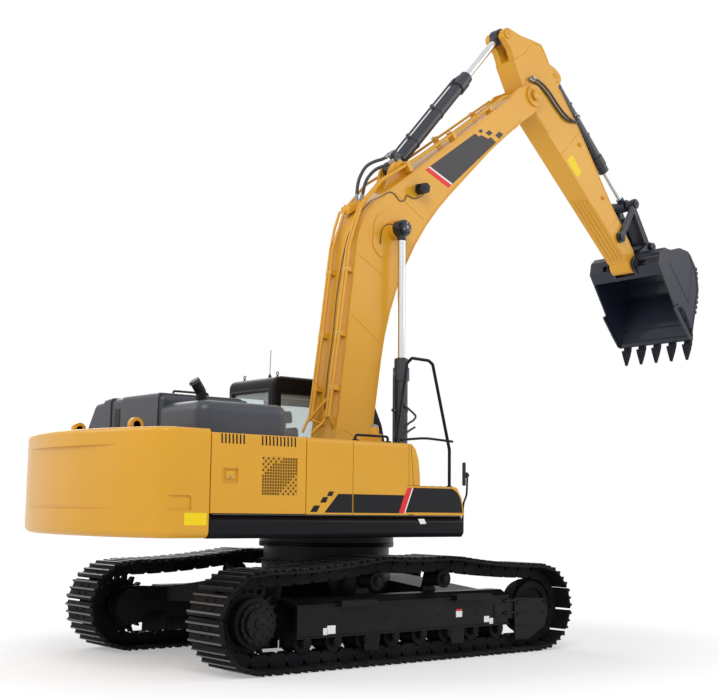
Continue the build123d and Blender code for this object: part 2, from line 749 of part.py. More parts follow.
def make_hoods():
    low = panel_top
    # right bulge over the pumps, fixed
    right = slab([(hood_rear, hood_joint), (hood_front, hood_joint), (hood_front, hood_right, bulge_corner),
                  (hood_rear, hood_right, bulge_corner)], low, bulge_top)
    rim = [e for e in right.edges() if e.center().Z > bulge_top - 1 and e.center().Y < hood_joint - 5]
    right = right.fillet(bulge_corner - 40, rim)
    margin = 46
    void = slab([(hood_rear + margin, hood_joint - 30), (hood_front - margin, hood_joint - 30),
                 (hood_front - margin, hood_right + margin, bulge_corner - margin),
                 (hood_rear + margin, hood_right + margin, bulge_corner - margin)], low - 5,
                 bulge_top - margin)
    stack_x, stack_y = stack_place
    stack_hole = post(stack_x, stack_y, 55 + seat_gap, low, bulge_top + 50)
    parts["right_hood"] = right - void - stack_hole
    # hinged lid over the engine, with raised bands that run over its top and down its rear
    y_low = hood_joint + seam_gap
    profile = [(y_low, low + 5), (y_low, hood_top, 70), (hood_left - 570, hood_top, 80),
               (hood_left - 235, hood_top - 30, 90), (hood_left - 50, low + 140, 200), (hood_left, low + 5)]
    lid = section(profile, hood_rear, hood_front)
    ends = [e for e in lid.edges() if min(abs(e.center().X - hood_front), abs(e.center().X - hood_rear)) < 1
            and e.center().Z > low + 20]
    lid = lid.fillet(55, ends)
    raised = section(inset(profile, -16), hood_rear - 14, hood_front - 70)
    ends = [e for e in raised.edges() if min(abs(e.center().X - hood_front + 70),
                                             abs(e.center().X - hood_rear + 14)) < 1
            and e.center().Z > low + 20]
    raised = raised.fillet(50, ends)
    for band_low, band_high in ((y_low + 40, 300), (555, 705)):
        lid = lid + (raised & block(hood_rear - 50, hood_front, band_low, band_high, low + 90,
                                    hood_top + 60)).solid()
    core = inset([(y_low, low - 40), (y_low, hood_top), (hood_left - 570, hood_top),
                  (hood_left - 235, hood_top - 30),
                  (hood_left - 50, low + 140), (hood_left + 10, low - 40)], 30)
    lid = lid - section(core, hood_rear + 50, hood_front - 60)
    x, z = hood_hinge
    for y in hood_knuckle_ys:
        lid = lid - block(hood_front - 25, hood_front + 5, y - knuckle_half - 20, y + knuckle_half + 20,
                          low, low + 12)
        web = block(hood_front - 10, x + 4, y - knuckle_half, y + knuckle_half, z - 6, z + 14)
        lid = lid + web + drum(x, z, 14, y - knuckle_half, y + knuckle_half)
        lid = lid - drum(x, z, hinge_pin_radius + pin_clearance, y - knuckle_half - 5, y + knuckle_half + 5)
    parts["engine_hood"] = lid
    parts["exhaust_stack"] = bent_tube([(stack_x, stack_y, bulge_top - 200),
                                        (stack_x, stack_y, bulge_top + 100),
                                        (stack_x - 90, stack_y, bulge_top + 220)], 55, 90)


pump_door_pivot = seam_tank_rear - seam_gap / 2 - pivot_inset
left_rear_pivot = seam_rear + seam_gap / 2 + pivot_inset
left_front_pivot = left_door_split + pivot_inset


def pivot_pin(x, side):
    return post(x, side * (half_width - pivot_inset), pivot_radius, deck_top + 1, door_low_edge + 2)


def pivot_seat(x, side):
    """Small plate on the deck edge that carries a door's lower pivot."""
    low, high = sorted((side * (half_width - 110), side * (half_width - 1)))
    seat = block(x - 16, x + 16, low, high, deck_top, door_low_edge - side_gap)
    return seat - post(x, side * (half_width - pivot_inset), pivot_radius + pin_clearance, deck_top,
                       door_low_edge)


def door_panel(x_low, x_high, side):
    """Service door: a panel with a rounded upper edge on the right, plain on the left."""
    y_out = side * half_width
    y_in = side * (half_width - panel_wall)
    door = block(x_low, x_high, min(y_out, y_in), max(y_out, y_in), door_low_edge, panel_top - 2)
    edge = [e for e in door.edges() if e.center().Z > panel_top - 3 and abs(e.center().Y - y_out) < 1]
    return door.fillet(30, edge)


def louvres(door, x_from, count, pitch, z_low, z_high, side):
    slot = min(14, 0.33 * pitch)
    low, high = sorted((side * (half_width - 60), side * (half_width + 20)))
    for i in range(count):
        x = x_from + i * pitch
        door = door - block(x, x + slot, low, high, z_low, z_high)
    return door


def make_doors():
    pump = door_panel(seam_rear + seam_gap / 2, seam_tank_rear - seam_gap / 2, -1)
    # louvres, latch and grille keep their shares of a door's length
    span = seam_tank_rear - seam_rear
    pump = louvres(pump, seam_rear + 0.0957 * span, 7, 0.0374 * span, panel_top - 105, panel_top - 25, -1)
    pump = louvres(pump, seam_tank_rear - 0.487 * span, 10, 0.0391 * span, panel_top - 110, panel_top - 25, -1)
    latch = block(seam_rear + 0.126 * span, seam_rear + 0.2696 * span, -half_width - 5, -half_width + 14,
                  panel_top - 479, panel_top - 343)
    grille = block(seam_tank_rear - 0.4783 * span, seam_tank_rear - 0.0957 * span, -half_width - 5,
                   -half_width + 10, panel_top - 600, panel_top - 220)
    parts["pump_door"] = pump - latch - grille + pivot_pin(pump_door_pivot, -1)
    rear = door_panel(seam_rear + seam_gap / 2, left_door_split - 10, 1)
    span = left_door_split - seam_rear
    rear = louvres(rear, seam_rear + 0.1431 * span, 14, 0.0496 * span, panel_top - 445, panel_top - 165, 1)
    parts["left_rear_door"] = rear + pivot_pin(left_rear_pivot, 1)
    front = door_panel(left_door_split, cab_rear - 60, 1)
    front = louvres(front, left_door_split + 150, 7, 52, panel_top - 225, panel_top - 85, 1)
    parts["left_front_door"] = front + pivot_pin(left_front_pivot, 1)


def cab_outline():
    return [(cab_rear, cab_floor), (cab_rear, cab_roof, 110), (brow_x, cab_roof, 130),
            (kink_x, cab_kink, 200), (cab_front, cab_waist, 200), (cab_front, cab_floor, 60)]


def side_window():
    return [(cab_rear + 110, side_sill), (cab_rear + 110, window_top), (brow_x - 80, window_top),
            (kink_x - 120, cab_kink - 100), (cab_front - 150, side_sill)]


def door_window():
    return [(door_rear_edge + 90, door_sill), (door_rear_edge + 90, cab_roof - 250),
            (brow_x - 50, cab_roof - 250),
            (door_front_edge - 85, cab_kink - 50), (door_front_edge - 85, door_sill)]


def windscreen_cut(margin):
    """Outline of the windscreen opening, which follows the slope of the cab's front."""
    frame, length = toward((cab_front, cab_waist), (brow_x, cab_roof))
    return frame.outline([(-330 + margin, -200), (-330 + margin, 300), (length - 120 - margin, 300),
                          (length - 120 - margin, -200)])


def make_cab():
    left = half_width
    outer = plate(cab_outline(), cab_right, left)
    rims = [e for e in outer.edges() if min(abs(e.center().Y - cab_right), abs(e.center().Y - left)) < 1
            and e.center().Z > cab_floor + 100]
    outer = outer.fillet(38, rims)
    void = plate(inset(cab_outline(), cab_wall), cab_right + cab_wall, left - cab_wall)
    cab = outer - void
    door_low, door_high = cab_floor + 90, cab_roof - 160
    opening = plate([(door_rear_edge, door_low), (door_rear_edge, door_high),
                     (brow_x, door_high, 60), (door_front_edge, cab_kink, 60), (door_front_edge, door_low)],
                    left - cab_wall - 5, left + 5)
    cab = cab - opening
    # rear quarter window on the left, right side window, rear window, windscreen, skylight
    cab = cab - block(cab_rear + 110, door_rear_edge - 90, left - cab_wall - 5, left + 5, rear_sill,
                      window_top)
    cab = cab - plate(side_window(), cab_right - 5, cab_right + cab_wall + 5)
    cab = cab - block(cab_rear - 5, cab_rear + cab_wall + 5, cab_right + 110, left - 110, rear_sill + 50,
                      window_top + 20)
    screen = plate(windscreen_cut(0), cab_right + 90, left - 90)
    cab = cab - screen - block(100, 760, cab_right + 160, left - 160, cab_roof - cab_wall - 5, cab_roof + 5)
    # door: the same skin, with its window cut
    g = 6
    rear_gap = 10
    door = plate([(door_rear_edge + rear_gap, door_low + g), (door_rear_edge + rear_gap, door_high - g),
                  (brow_x - 2, door_high - g, 60), (door_front_edge - g, cab_kink - 2, 60),
                  (door_front_edge - g, door_low + g)], left - cab_wall, left)
    door = door - plate(door_window(), left - cab_wall - 5, left + 5)
    # hinges behind the door, outside the skin
    x, y = cab_hinge
    r = cab_hinge_radius
    leaf = left - 2
    for z in (door_low + 160, door_high - 300):
        door = door + post(x, y, r, z, z + 60) + block(x, x + 42, leaf, y + 2, z, z + 60)
        door = door - post(x, y, hinge_pin_radius + pin_clearance, z - 5, z + 65)
        for low in (z - side_gap - 30, z + 60 + side_gap):
            cab = cab + post(x, y, r, low, low + 30) + block(x - 42, x, leaf, y + 2, low, low + 30)
        cab = cab + post(x, y, hinge_pin_radius, z - side_gap - 30, z + 90 + side_gap)
    parts["cab_shell"] = cab
    parts["cab_door"] = door
    parts["cab_door_glass"] = plate(inset(door_window(), seat_gap), left - 30 - glass_thickness, left - 30)


cab_hinge = (door_rear_edge + 5, half_width + cab_hinge_out)


def make_cab_glass():
    left = half_width
    e = seat_gap
    panes = [block(cab_rear + 110 + e, door_rear_edge - 90 - e, left - 30 - glass_thickness, left - 30,
                   rear_sill + e, window_top - e)]
    panes.append(plate(inset(side_window(), e), cab_right + 26, cab_right + 26 + glass_thickness))
    panes.append(block(cab_rear + 26, cab_rear + 26 + glass_thickness, cab_right + 110 + e, left - 110 - e,
                       rear_sill + 50 + e, window_top + 20 - e))
    panes.append(block(100 + e, 760 - e, cab_right + 160 + e, left - 160 - e, cab_roof - 34, cab_roof - 26))
    skin = inset(cab_outline(), 26)
    back = inset(cab_outline(), 26 + glass_thickness)
    band = plate(skin, cab_right + 90 + e, left - 90 - e) - plate(back, cab_right, left)
    glass = band & plate(windscreen_cut(e), cab_right, left)
    panes += list(glass.solids())
    parts["cab_glass"] = panes


def make_station():
    y = (cab_right + half_width) / 2
    floor = cab_floor + cab_wall
    base = block(60, 520, y - 230, y + 230, floor, floor + 330)
    cushion = block(40, 560, y - 250, y + 250, floor + 330, floor + 450)
    back_top = cab_roof - 445
    back = plate([(-40, floor + 430), (80, floor + 400), (0, back_top, 50), (-120, back_top, 50)],
                 y - 240, y + 240)
    consoles = [block(60, 600, y + s * 330 - 65, y + s * 330 + 65, floor, floor + 560) for s in (-1, 1)]
    seat = fused([base, cushion, back])
    parts["operator_seat"] = seat
    parts["seat_consoles"] = consoles


def make_rails():
    y = -1420
    r = 18
    big = bent_tube([(-168, y, panel_top), (-168, y, panel_top + 60), (-17, y, 3236), (57, y, 3299),
                     (311, y, 3293),
                     (374, y, 3255), (640, y, 2300), (640, y, step_top)], r, 30)
    low = bent_tube([(-750, y, panel_top), (-750, y, panel_top + 60), (-290, y, panel_top + 60),
                     (-290, y, panel_top)], 14, 30)
    parts["handrails"] = [big, low]
    y = -1350
    arm = bent_tube([(front_edge - 28, y, 1480), (945, y, 1500), (921, y, 2040)], 12, 60)
    glass = block(906, 936, y - 90, y + 90, 1919, 2171)
    parts["right_mirror"] = arm + glass


def boom_bulk():
    """Outer form of the boom between its foot and its nose, without the void."""
    end = boom_length
    # along, above, corner radius: foot rear, top bend, nose top, nose bottom, underside bends, foot front
    outline = [(-90, 190, 60), (*boom_crest, 1000), (end - 349, 322), (end - 495, -22),
               (end - 1249, 218, 3000),
               (*boom_hollow, 4000), (520, -124, 120), (60, -205, 60)]
    return plate(boom_frame.outline(outline), -boom_half_width, boom_half_width)


def make_boom():
    hw = boom_half_width
    end = boom_length
    skin = boom_bulk()
    inner = inset([(300, 370), (*boom_crest, 1000), (end - 449, 358), (end - 559, -2),
                   (end - 1249, 218, 3000),
                   (*boom_hollow, 4000), (430, -138)], boom_plate)
    void = plate(boom_frame.outline(inner), -hw + boom_plate, hw - boom_plate)
    boom = skin + drum(*boom_foot, 210, -boom_side, boom_side)
    nose = [(end - 689, 455), (end - 333, 322), (end - 148, 292, 60), (end + 51, 165, 110),
            (end + 161, 0, 110),
            (end + 51, -160, 110), (end - 216, -137, 60), (end - 494, -22), (end - 689, 30)]
    arm_boss = arm_half_width + 15
    for low, high in ((-hw, -arm_boss - side_gap), (arm_boss + side_gap, hw)):
        boom = boom + plate(boom_frame.outline(nose), low, high)
    pin_out = boom_cylinder_y - 55 - side_gap
    u, v = boom_cylinder_pin
    doubler = [(u + 250, v - 120, 180), (u + 200, v + 210, 180), (u - 70, v + 330, 200),
               (u - 400, v + 160, 160),
               (u - 430, v - 10, 60), (u - 60, v - 270, 160)]
    lug = [(3330, 1280), (3600, 1370), (3690, 1380, 60), (3825, 1340, 80), (3840, 1210, 40), (3850, 1030),
           (3500, 1150)]
    for side in (-1, 1):
        low, high = sorted((side * (hw - 5), side * pin_out))
        boom = boom + drum(*boom_cylinder_top, 120, low, high)
        low, high = sorted((side * (hw - 5), side * (hw + 12)))
        boom = boom + plate(boom_frame.outline(doubler), low, high)
        low, high = sorted((side * (hw - 5), side * (hw + 30)))
        boom = boom + drum(*arm_pin, 150, low, high)
        low, high = sorted((side * (70 + side_gap), side * (110 + side_gap)))
        boom = boom + plate(boom_frame.outline(lug), low, high)
    boom = boom - void
    boom = boom - drum(*arm_pin, 55 + pin_clearance, -400, 400)
    boom = boom - drum(*arm_cylinder_foot, 50 + pin_clearance, -200, 200)
    boom = boom - drum(*boom_foot, 60 + pin_clearance, -400, 400)
    parts["boom"] = boom
    parts["boom_pins"] = [drum(*arm_pin, 55, -300, 300), drum(*arm_cylinder_foot, 50, -115, 115)]


def make_boom_fittings():
    end = boom_length
    over = [(360, 505), (1500, 1015), (2300, 1385), (2840, 1510), (3330, 1430), (4100, 1085),
            (end - 1049, 650), (end - 349, 372)]
    # the outer pair of lines ends in hose unions at the bend
    rise = [(360, 505), (1500, 1015), (2300, 1385), (2560, 1475), (2800, 1530)]
    clamps = ((700, 627), (1304, 903), (2032, 1238))
    far_clamps = ((3800, 1227), (4700, 853), (end - 749, 516))
    lines = []
    for side, runs in ((-1, (over, over)), (1, (rise, over))):
        tubes = []
        for offset, run in zip((190, 140), runs):
            points = [boom_frame.at(a, b) for a, b in run]
            tubes.append(bent_tube([(p[0], side * offset, p[1]) for p in points], 17, 260))
        line = fused(tubes)
        for along, above in clamps + far_clamps:
            x, z = boom_frame.at(along, above)
            turn = 24.5 if along < boom_crest[0] else -22.2
            mount = LinkFrame(x, z, boom_angle + turn)
            reach = 218 if (side, along > boom_crest[0]) != (1, True) else 170
            low, high = sorted((side * 112, side * reach))
            line = line + plate(mount.outline([(-30, -110), (30, -110), (30, 28), (-30, 28)]), low, high)
        lines.append(line - boom_bulk())
    parts["boom_pipes"] = lines
    x, z = boom_frame.at(end - 2089, 900)
    lamp = block(x - 60, x + 60, -boom_half_width - 150, -boom_half_width - 40, z - 55, z + 55)
    foot = block(x - 20, x + 20, -boom_half_width - 40, -boom_half_width, z - 20, z + 20)
    parts["boom_lamp"] = lamp + foot


def make_arm():
    hw = arm_half_width
    end = arm_length
    outline = [(-560, 105), (-150, -30, 60), (230, -105, 200), (end - 125, -85, 60), (end, -70, 40),
               (end + 45, 60, 60), (end - 105, 140, 60), (end - 285, 182), (end - 835, 255), (900, 530),
               (250, 612), (40, 655), (-260, 745, 80), (-400, 770, 60), (-560, 640)]
    body = plate(arm_frame.outline(outline), -hw, hw)
    core = [(-520, 110), (-160, 160), (230, 130), (400, -95), (end - 285, -75), (end - 285, 175),
            (end - 835, 245),
            (900, 522), (250, 600), (40, 640), (-260, 730), (-400, 750), (-520, 640)]
    void = plate(arm_frame.outline(inset(core, boom_plate)), -hw + boom_plate, hw - boom_plate)
    body = body + drum(*arm_pin, 150, -hw - 15, hw + 15)
    body = body + drum(*bucket_pin, 125, -hw - 5, hw + 5)
    body = body + drum(*rocker_pin, 90, -hw - 5, hw + 5)
    body = body - void
    rear = [(-975, 300, 70), (-940, 360, 40), (-727, 490), (-560, 640), (-500, 640), (-500, 100),
            (-620, 150, 60),
            (-720, 190, 60), (-930, 180, 70)]
    for low, high in ((-hw, -75 - side_gap), (75 + side_gap, hw)):
        wing = plate(arm_frame.outline(rear), low, high)
        body = body + wing
    lug = [(-230, 700), (60, 850, 60), (153, 860, 60), (250, 850, 90), (262, 700, 90), (330, 560),
           (-100, 560)]
    for low, high in ((-110, -65 - side_gap), (65 + side_gap, 110)):
        body = body + plate(arm_frame.outline(lug), low, high)
    # thicker plate round the arm's pivot
    doubler = [(-150, -10, 150), (230, -80), (560, -85, 60), (700, 200, 250), (420, 400, 200), (0, 330, 200),
               (-230, 130, 120)]
    for side in (-1, 1):
        low, high = sorted((side * (hw - 2), side * (hw + 8)))
        body = body + plate(arm_frame.outline(doubler), low, high)
    body = body - drum(*arm_pin, 55 + pin_clearance, -400, 400)
    body = body - drum(*arm_cylinder_top, 50 + pin_clearance, -400, -70)
    body = body - drum(*arm_cylinder_top, 50 + pin_clearance, 70, 400)
    body = body - drum(*bucket_cylinder_foot, 45 + pin_clearance, -200, 200)
    body = body - drum(*bucket_pin, 45 + pin_clearance, -400, 400)
    body = body - drum(*rocker_pin, 45 + pin_clearance, -400, 400)
    parts["arm"] = body
    pins = [drum(*bucket_cylinder_foot, 45, -125, 125), drum(*bucket_pin, 45, -265, 265),
            drum(*rocker_pin, 45, -240, 240)]
    for low, high in ((-hw - 15, -75 - side_gap), (75 + side_gap, hw + 15)):
        pins.append(drum(*arm_cylinder_top, 50, low, high))
    parts["arm_pins"] = pins


def cylinder(name, foot, top, ys, rod_radius, barrel_radius, showing, inward, eye, eye_half, foot_pin):
    """Barrel from its foot pin to the gland, rod from inside it, and the eye that the rod ends in."""
    frame, length = toward(foot, top)
    barrel_end = length - showing
    bore_start = eye + 110
    rod_end = length - eye - 50
    barrels, rods, eyes = [], [], []
    for y in ys:
        def along(a):
            x, z = frame.at(a, 0)
            return (x, y, z)
        barrel = drum(*foot, eye, y - eye_half, y + eye_half)
        neck = plate(frame.outline([(0, -eye * 0.7), (eye + 95, -eye * 0.7), (eye + 95, eye * 0.7),
                                    (0, eye * 0.7)]), y - eye_half, y + eye_half)
        barrel = barrel + neck + rod_between(along(eye + 75), along(barrel_end - 60), barrel_radius)
        barrel = barrel + rod_between(along(barrel_end - 250), along(barrel_end - 90), barrel_radius + 20)
        barrel = barrel + rod_between(along(barrel_end - 100), along(barrel_end), barrel_radius + 5)
        barrel = barrel - rod_between(along(bore_start), along(barrel_end + 5), rod_radius + pin_clearance)
        barrel = barrel - drum(*foot, foot_pin + pin_clearance, y - eye_half - 5, y + eye_half + 5)
        barrels.append(barrel)
        rods.append(rod_between(along(bore_start + inward), along(rod_end), rod_radius))
        socket_radius = min(rod_radius + 14, eye_half - 1)
        socket = rod_between(along(rod_end), along(length - eye * 0.6), socket_radius)
        end = drum(*top, eye, y - eye_half, y + eye_half) + socket
        if y != 0:
            out = 1 if y > 0 else -1
            low, high = sorted((y + out * (eye_half - 2), y + out * (eye_half + 28)))
            end = end + drum(*top, eye - 18, low, high)
        eyes.append(end)
    plural = "s" if len(ys) > 1 else ""
    parts[name + "_barrel" + plural] = barrels
    parts[name + "_rod" + plural] = rods
    parts[name + "_rod_eye" + plural] = eyes


def make_cylinders():
    cylinder("boom_cylinder", boom_cylinder_foot, boom_cylinder_top, (-boom_cylinder_y, boom_cylinder_y),
             48, 82, 1650, 1435, 105, 55, 50)
    cylinder("arm_cylinder", arm_cylinder_foot, arm_cylinder_top, (0,), 52, 88, 990, 625, 105, 70, 50)
    cylinder("bucket_cylinder", bucket_cylinder_foot, rocker_top, (0,), 43, 80, 672, 418, 92, 65, 45)


def link_bar(p, q, eye_p, eye_q, waist_p, waist_q, y_low, y_high):
    frame, length = toward(p, q)
    bar = plate(frame.outline([(0, -waist_p), (length, -waist_q), (length, waist_q), (0, waist_p)]), y_low,
                y_high)
    return fused([bar, drum(*p, eye_p, y_low, y_high), drum(*q, eye_q, y_low, y_high)])


def make_links():
    inner = arm_half_width + 5 + side_gap
    rockers = []
    for low, high in ((-inner - 45, -inner), (inner, inner + 45)):
        bar = link_bar(rocker_pin, rocker_top, 82, 80, 50, 40, low, high)
        rockers.append(bar - drum(*rocker_pin, 45 + pin_clearance, low - 5, high + 5))
    parts["rocker_links"] = rockers
    outer = arm_half_width
    pieces = [drum(*link_foot, 85, -outer, outer)]
    frame, length = toward(link_foot, rocker_top)
    for low, high in ((-outer, -85), (85, outer)):
        pieces.append(link_bar(link_foot, rocker_top, 85, 70, 62, 42, low, high))
    pieces.append(plate(frame.outline([(0, -22), (length - 190, -22), (length - 190, 22), (0, 22)]),
                        -outer, outer))
    link = fused(pieces)
    parts["h_link"] = link - drum(*link_foot, 45 + pin_clearance, -outer - 5, outer + 5)


def cross_plate(frame, corners, low, high):
    """Solid with an outline of (along, y) corners in a link's frame, from low to high above its axis."""
    face = Face(ring(corners, lambda a, b: Vector(frame.at(a, low)[0], b, frame.at(a, low)[1])))
    x0, z0 = frame.at(0, low)
    x1, z1 = frame.at(0, high)
    return Solid.extrude(face, Vector(x1 - x0, 0, z1 - z0))


def make_bucket():
    hw = bucket_half_width
    ear_in = arm_half_width + 5 + side_gap
    ear_out = ear_in + 50
    outline = [(40, -45), (-60, 40, 40), (-134, 190, 60), (-30, 340, 60), (20, 560, 120), (160, 760, 160),
               (460, 800, 250), (760, 690, 200), (1330, 130), (1350, 95), (751, -5, 400)]
    shell = plate(bucket_frame.outline(outline), -hw, hw)
    # the cavity leaves a thicker lip along the cutting edge
    inside = [(210, -80), (210, 170, 60), (180, 560, 120), (250, 690, 120), (460, 760, 220), (730, 655, 180),
              (1080, 316), (1066, 300), (1290, 82), (1400, 60), (1400, -80)]
    cavity = plate(bucket_frame.outline(inside), -hw + bucket_wall, hw - bucket_wall)
    side_inside = [(150, 0, 20), (70, 0, 20), (-60, 150, 30), (-85, 195, 20), (5, 335, 40), (45, 540, 40),
                   (140, 540, 20), (165, 170)]
    shell = shell - cavity
    for low, high in ((-hw + bucket_wall, -ear_out - 20), (ear_out + 20, hw - bucket_wall)):
        shell = shell - plate(bucket_frame.outline(side_inside), low, high)
    pocket = [(-300, -300), (150, -300), (165, 150, 80), (110, 300, 80), (60, 620, 60), (-300, 700)]
    shell = shell - plate(bucket_frame.outline(pocket), -ear_in, ear_in)
    ear = [(-70, -72, 70), (-105, 20, 60), (-185, 470, 85), (-112, 575, 80), (10, 575, 60), (220, 420),
           (220, -20),
           (60, -80, 80)]
    tube = bucket_frame.at(*torque_tube)
    for side in (-1, 1):
        low, high = sorted((side * ear_in, side * ear_out))
        shell = shell + plate(bucket_frame.outline(ear), low, high)
        low, high = sorted((side * (ear_out - 2), side * (hw - 2)))
        shell = shell + drum(*tube, torque_tube_radius, low, high)
    # side cutters
    cutter = [(745, 95), (745, -62, 15), (1100, 0), (1310, 45, 20), (1365, 110, 20), (1250, 172, 20),
              (900, 115)]
    for low, high in ((-hw - 25, -hw + 1), (hw - 1, hw + 25)):
        shell = shell + plate(bucket_frame.outline(cutter), low, high)
    shell = shell - drum(*bucket_pin, 45 + pin_clearance, -400, 400)
    shell = shell - drum(*link_foot, 45 + pin_clearance, -400, 400)
    parts["bucket"] = shell
    parts["bucket_pin"] = drum(*link_foot, 45, -265, 265)
    lip = LinkFrame(*bucket_frame.at(1340, 112), bucket_angle - 29)
    teeth = []
    tooth_profile = [(-150, 10), (-150, 62, 10), (20, 70, 20), (150, 52, 20), (300, 12), (300, -12),
                     (140, -44, 20), (60, -50, 20), (60, 10)]
    for i in range(5):
        y = -565 + i * 282.5
        tooth = plate(lip.outline(tooth_profile), y - 60, y + 60)
        taper = cross_plate(lip, [(-160, y - 52), (60, y - 56), (90, y - 50), (305, y - 14), (305, y + 14),
                                  (90, y + 50),
                                  (60, y + 56), (-160, y + 52)], -90, 110)
        teeth.append((tooth & taper).solid() - shell)
    parts["bucket_teeth"] = teeth


make_tracks()
make_rollers()
make_sprockets()
make_idlers()
make_side_frames()
make_carbody()
make_deck()
make_skirts()
make_counterweight()
make_tanks()
make_engine_bay()
make_hoods()
make_doors()
make_cab()
make_cab_glass()
make_station()
make_rails()
make_boom()
make_boom_fittings()
make_arm()
make_cylinders()
make_links()
make_bucket()

os.makedirs("parts", exist_ok=True)
for node, shape in parts.items():
    solids = shape if isinstance(shape, list) else [shape]
    pieces = []
    for item in solids:
        pieces += list(item.solids())
    whole = pieces[0] if len(pieces) == 1 else Compound(children=pieces)
    export_step(whole, f"parts/{node}.step")
    print(node, len(pieces), "solids")
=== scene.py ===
import json
import math

import bmesh
import bpy
from mathutils import Matrix, Vector


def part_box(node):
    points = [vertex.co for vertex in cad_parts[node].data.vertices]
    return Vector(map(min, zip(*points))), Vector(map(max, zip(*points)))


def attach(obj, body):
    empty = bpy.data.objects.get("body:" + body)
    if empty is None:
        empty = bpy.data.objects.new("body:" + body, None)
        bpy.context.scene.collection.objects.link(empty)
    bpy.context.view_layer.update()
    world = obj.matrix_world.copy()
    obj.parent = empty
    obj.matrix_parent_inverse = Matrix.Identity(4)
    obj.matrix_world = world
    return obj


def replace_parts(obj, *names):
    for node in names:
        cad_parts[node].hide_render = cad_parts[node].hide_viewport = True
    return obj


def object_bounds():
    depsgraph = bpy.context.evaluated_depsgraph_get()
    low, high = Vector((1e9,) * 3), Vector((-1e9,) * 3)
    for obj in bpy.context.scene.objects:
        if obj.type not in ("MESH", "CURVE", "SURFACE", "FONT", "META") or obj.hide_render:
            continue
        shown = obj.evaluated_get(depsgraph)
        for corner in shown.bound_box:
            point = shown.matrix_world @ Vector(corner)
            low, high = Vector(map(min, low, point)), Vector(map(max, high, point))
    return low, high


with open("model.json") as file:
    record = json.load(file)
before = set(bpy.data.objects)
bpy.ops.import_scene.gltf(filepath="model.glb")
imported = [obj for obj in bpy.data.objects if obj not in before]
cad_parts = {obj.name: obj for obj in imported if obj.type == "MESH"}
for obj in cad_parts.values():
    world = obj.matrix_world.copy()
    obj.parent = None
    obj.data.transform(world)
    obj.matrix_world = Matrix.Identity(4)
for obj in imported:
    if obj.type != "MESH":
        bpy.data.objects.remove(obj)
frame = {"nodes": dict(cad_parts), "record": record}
nodes = frame["nodes"]
cad_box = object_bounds()

UP = (0, 0, 1)
RIGHT = (0, -1, 0)
LEFT = (0, 1, 0)
SIDES = ((-1, "right"), (1, "left"))
SMOOTH_ANGLE = math.radians(35)

CAMERA_PLACE = (-9.029, -11.459, 1.627)
CAMERA_YAW = math.radians(50.34)
CAMERA_PITCH = math.radians(7.42)
CAMERA_ROLL = math.radians(0.72)
CAMERA_LENS = 61.06
CAMERA_SENSOR = 36
WORLD_LIGHT = 0.5


def make_camera():
    reach = math.cos(CAMERA_PITCH)
    ahead = Vector((reach * math.cos(CAMERA_YAW), reach * math.sin(CAMERA_YAW), math.sin(CAMERA_PITCH)))
    right = Vector((math.sin(CAMERA_YAW), -math.cos(CAMERA_YAW), 0))
    above = right.cross(ahead)
    side = math.cos(CAMERA_ROLL) * right + math.sin(CAMERA_ROLL) * above
    top = -math.sin(CAMERA_ROLL) * right + math.cos(CAMERA_ROLL) * above
    matrix = Matrix((side, top, -ahead)).transposed().to_4x4()
    matrix.translation = CAMERA_PLACE
    bpy.ops.object.camera_add()
    camera = bpy.context.object
    camera.matrix_world = matrix
    camera.data.lens = CAMERA_LENS
    camera.data.sensor_width = CAMERA_SENSOR
    camera.data.clip_end = 200
    bpy.context.scene.camera = camera


def make_light():
    """Four soft lamps, and a world that is white to the camera and dimmer as a light."""
    lamps = (
        # name, place, aim, size, energy
        ("key", (-9, -10, 13), (0, 0, 2.5), 9, 1150),
        ("front", (11, -9, 9), (2, 0, 3), 8, 300),
        ("rear", (-12, 7, 9), (0, 0, 2.5), 9, 480),
        ("left", (4, 14, 8), (1, 0, 2.5), 9, 480),
    )
    for name, place, aim, size, energy in lamps:
        bpy.ops.object.light_add(type="AREA", location=place)
        lamp = bpy.context.object
        lamp.name = "lamp_" + name
        lamp.data.shape = "DISK"
        lamp.data.size = size
        lamp.data.energy = energy
        way = Vector(aim) - Vector(place)
        lamp.rotation_euler = way.to_track_quat("-Z", "Y").to_euler()
    world = bpy.data.worlds.new("studio")
    world.use_nodes = True
    bpy.context.scene.world = world
    tree = world.node_tree
    ground = tree.nodes["Background"]
    ground.inputs["Color"].default_value = (1, 1, 1, 1)
    path = tree.nodes.new("ShaderNodeLightPath")
    seen = path.outputs["Is Camera Ray"]
    for ray in ("Is Transmission Ray", "Is Glossy Ray"):
        either = tree.nodes.new("ShaderNodeMath")
        either.operation = "MAXIMUM"
        tree.links.new(seen, either.inputs[0])
        tree.links.new(path.outputs[ray], either.inputs[1])
        seen = either.outputs[0]
    level = tree.nodes.new("ShaderNodeMapRange")
    level.inputs["To Min"].default_value = WORLD_LIGHT
    level.inputs["To Max"].default_value = 1.0
    tree.links.new(seen, level.inputs["Value"])
    tree.links.new(level.outputs[0], ground.inputs["Strength"])
    bpy.context.scene.view_settings.view_transform = "Standard"


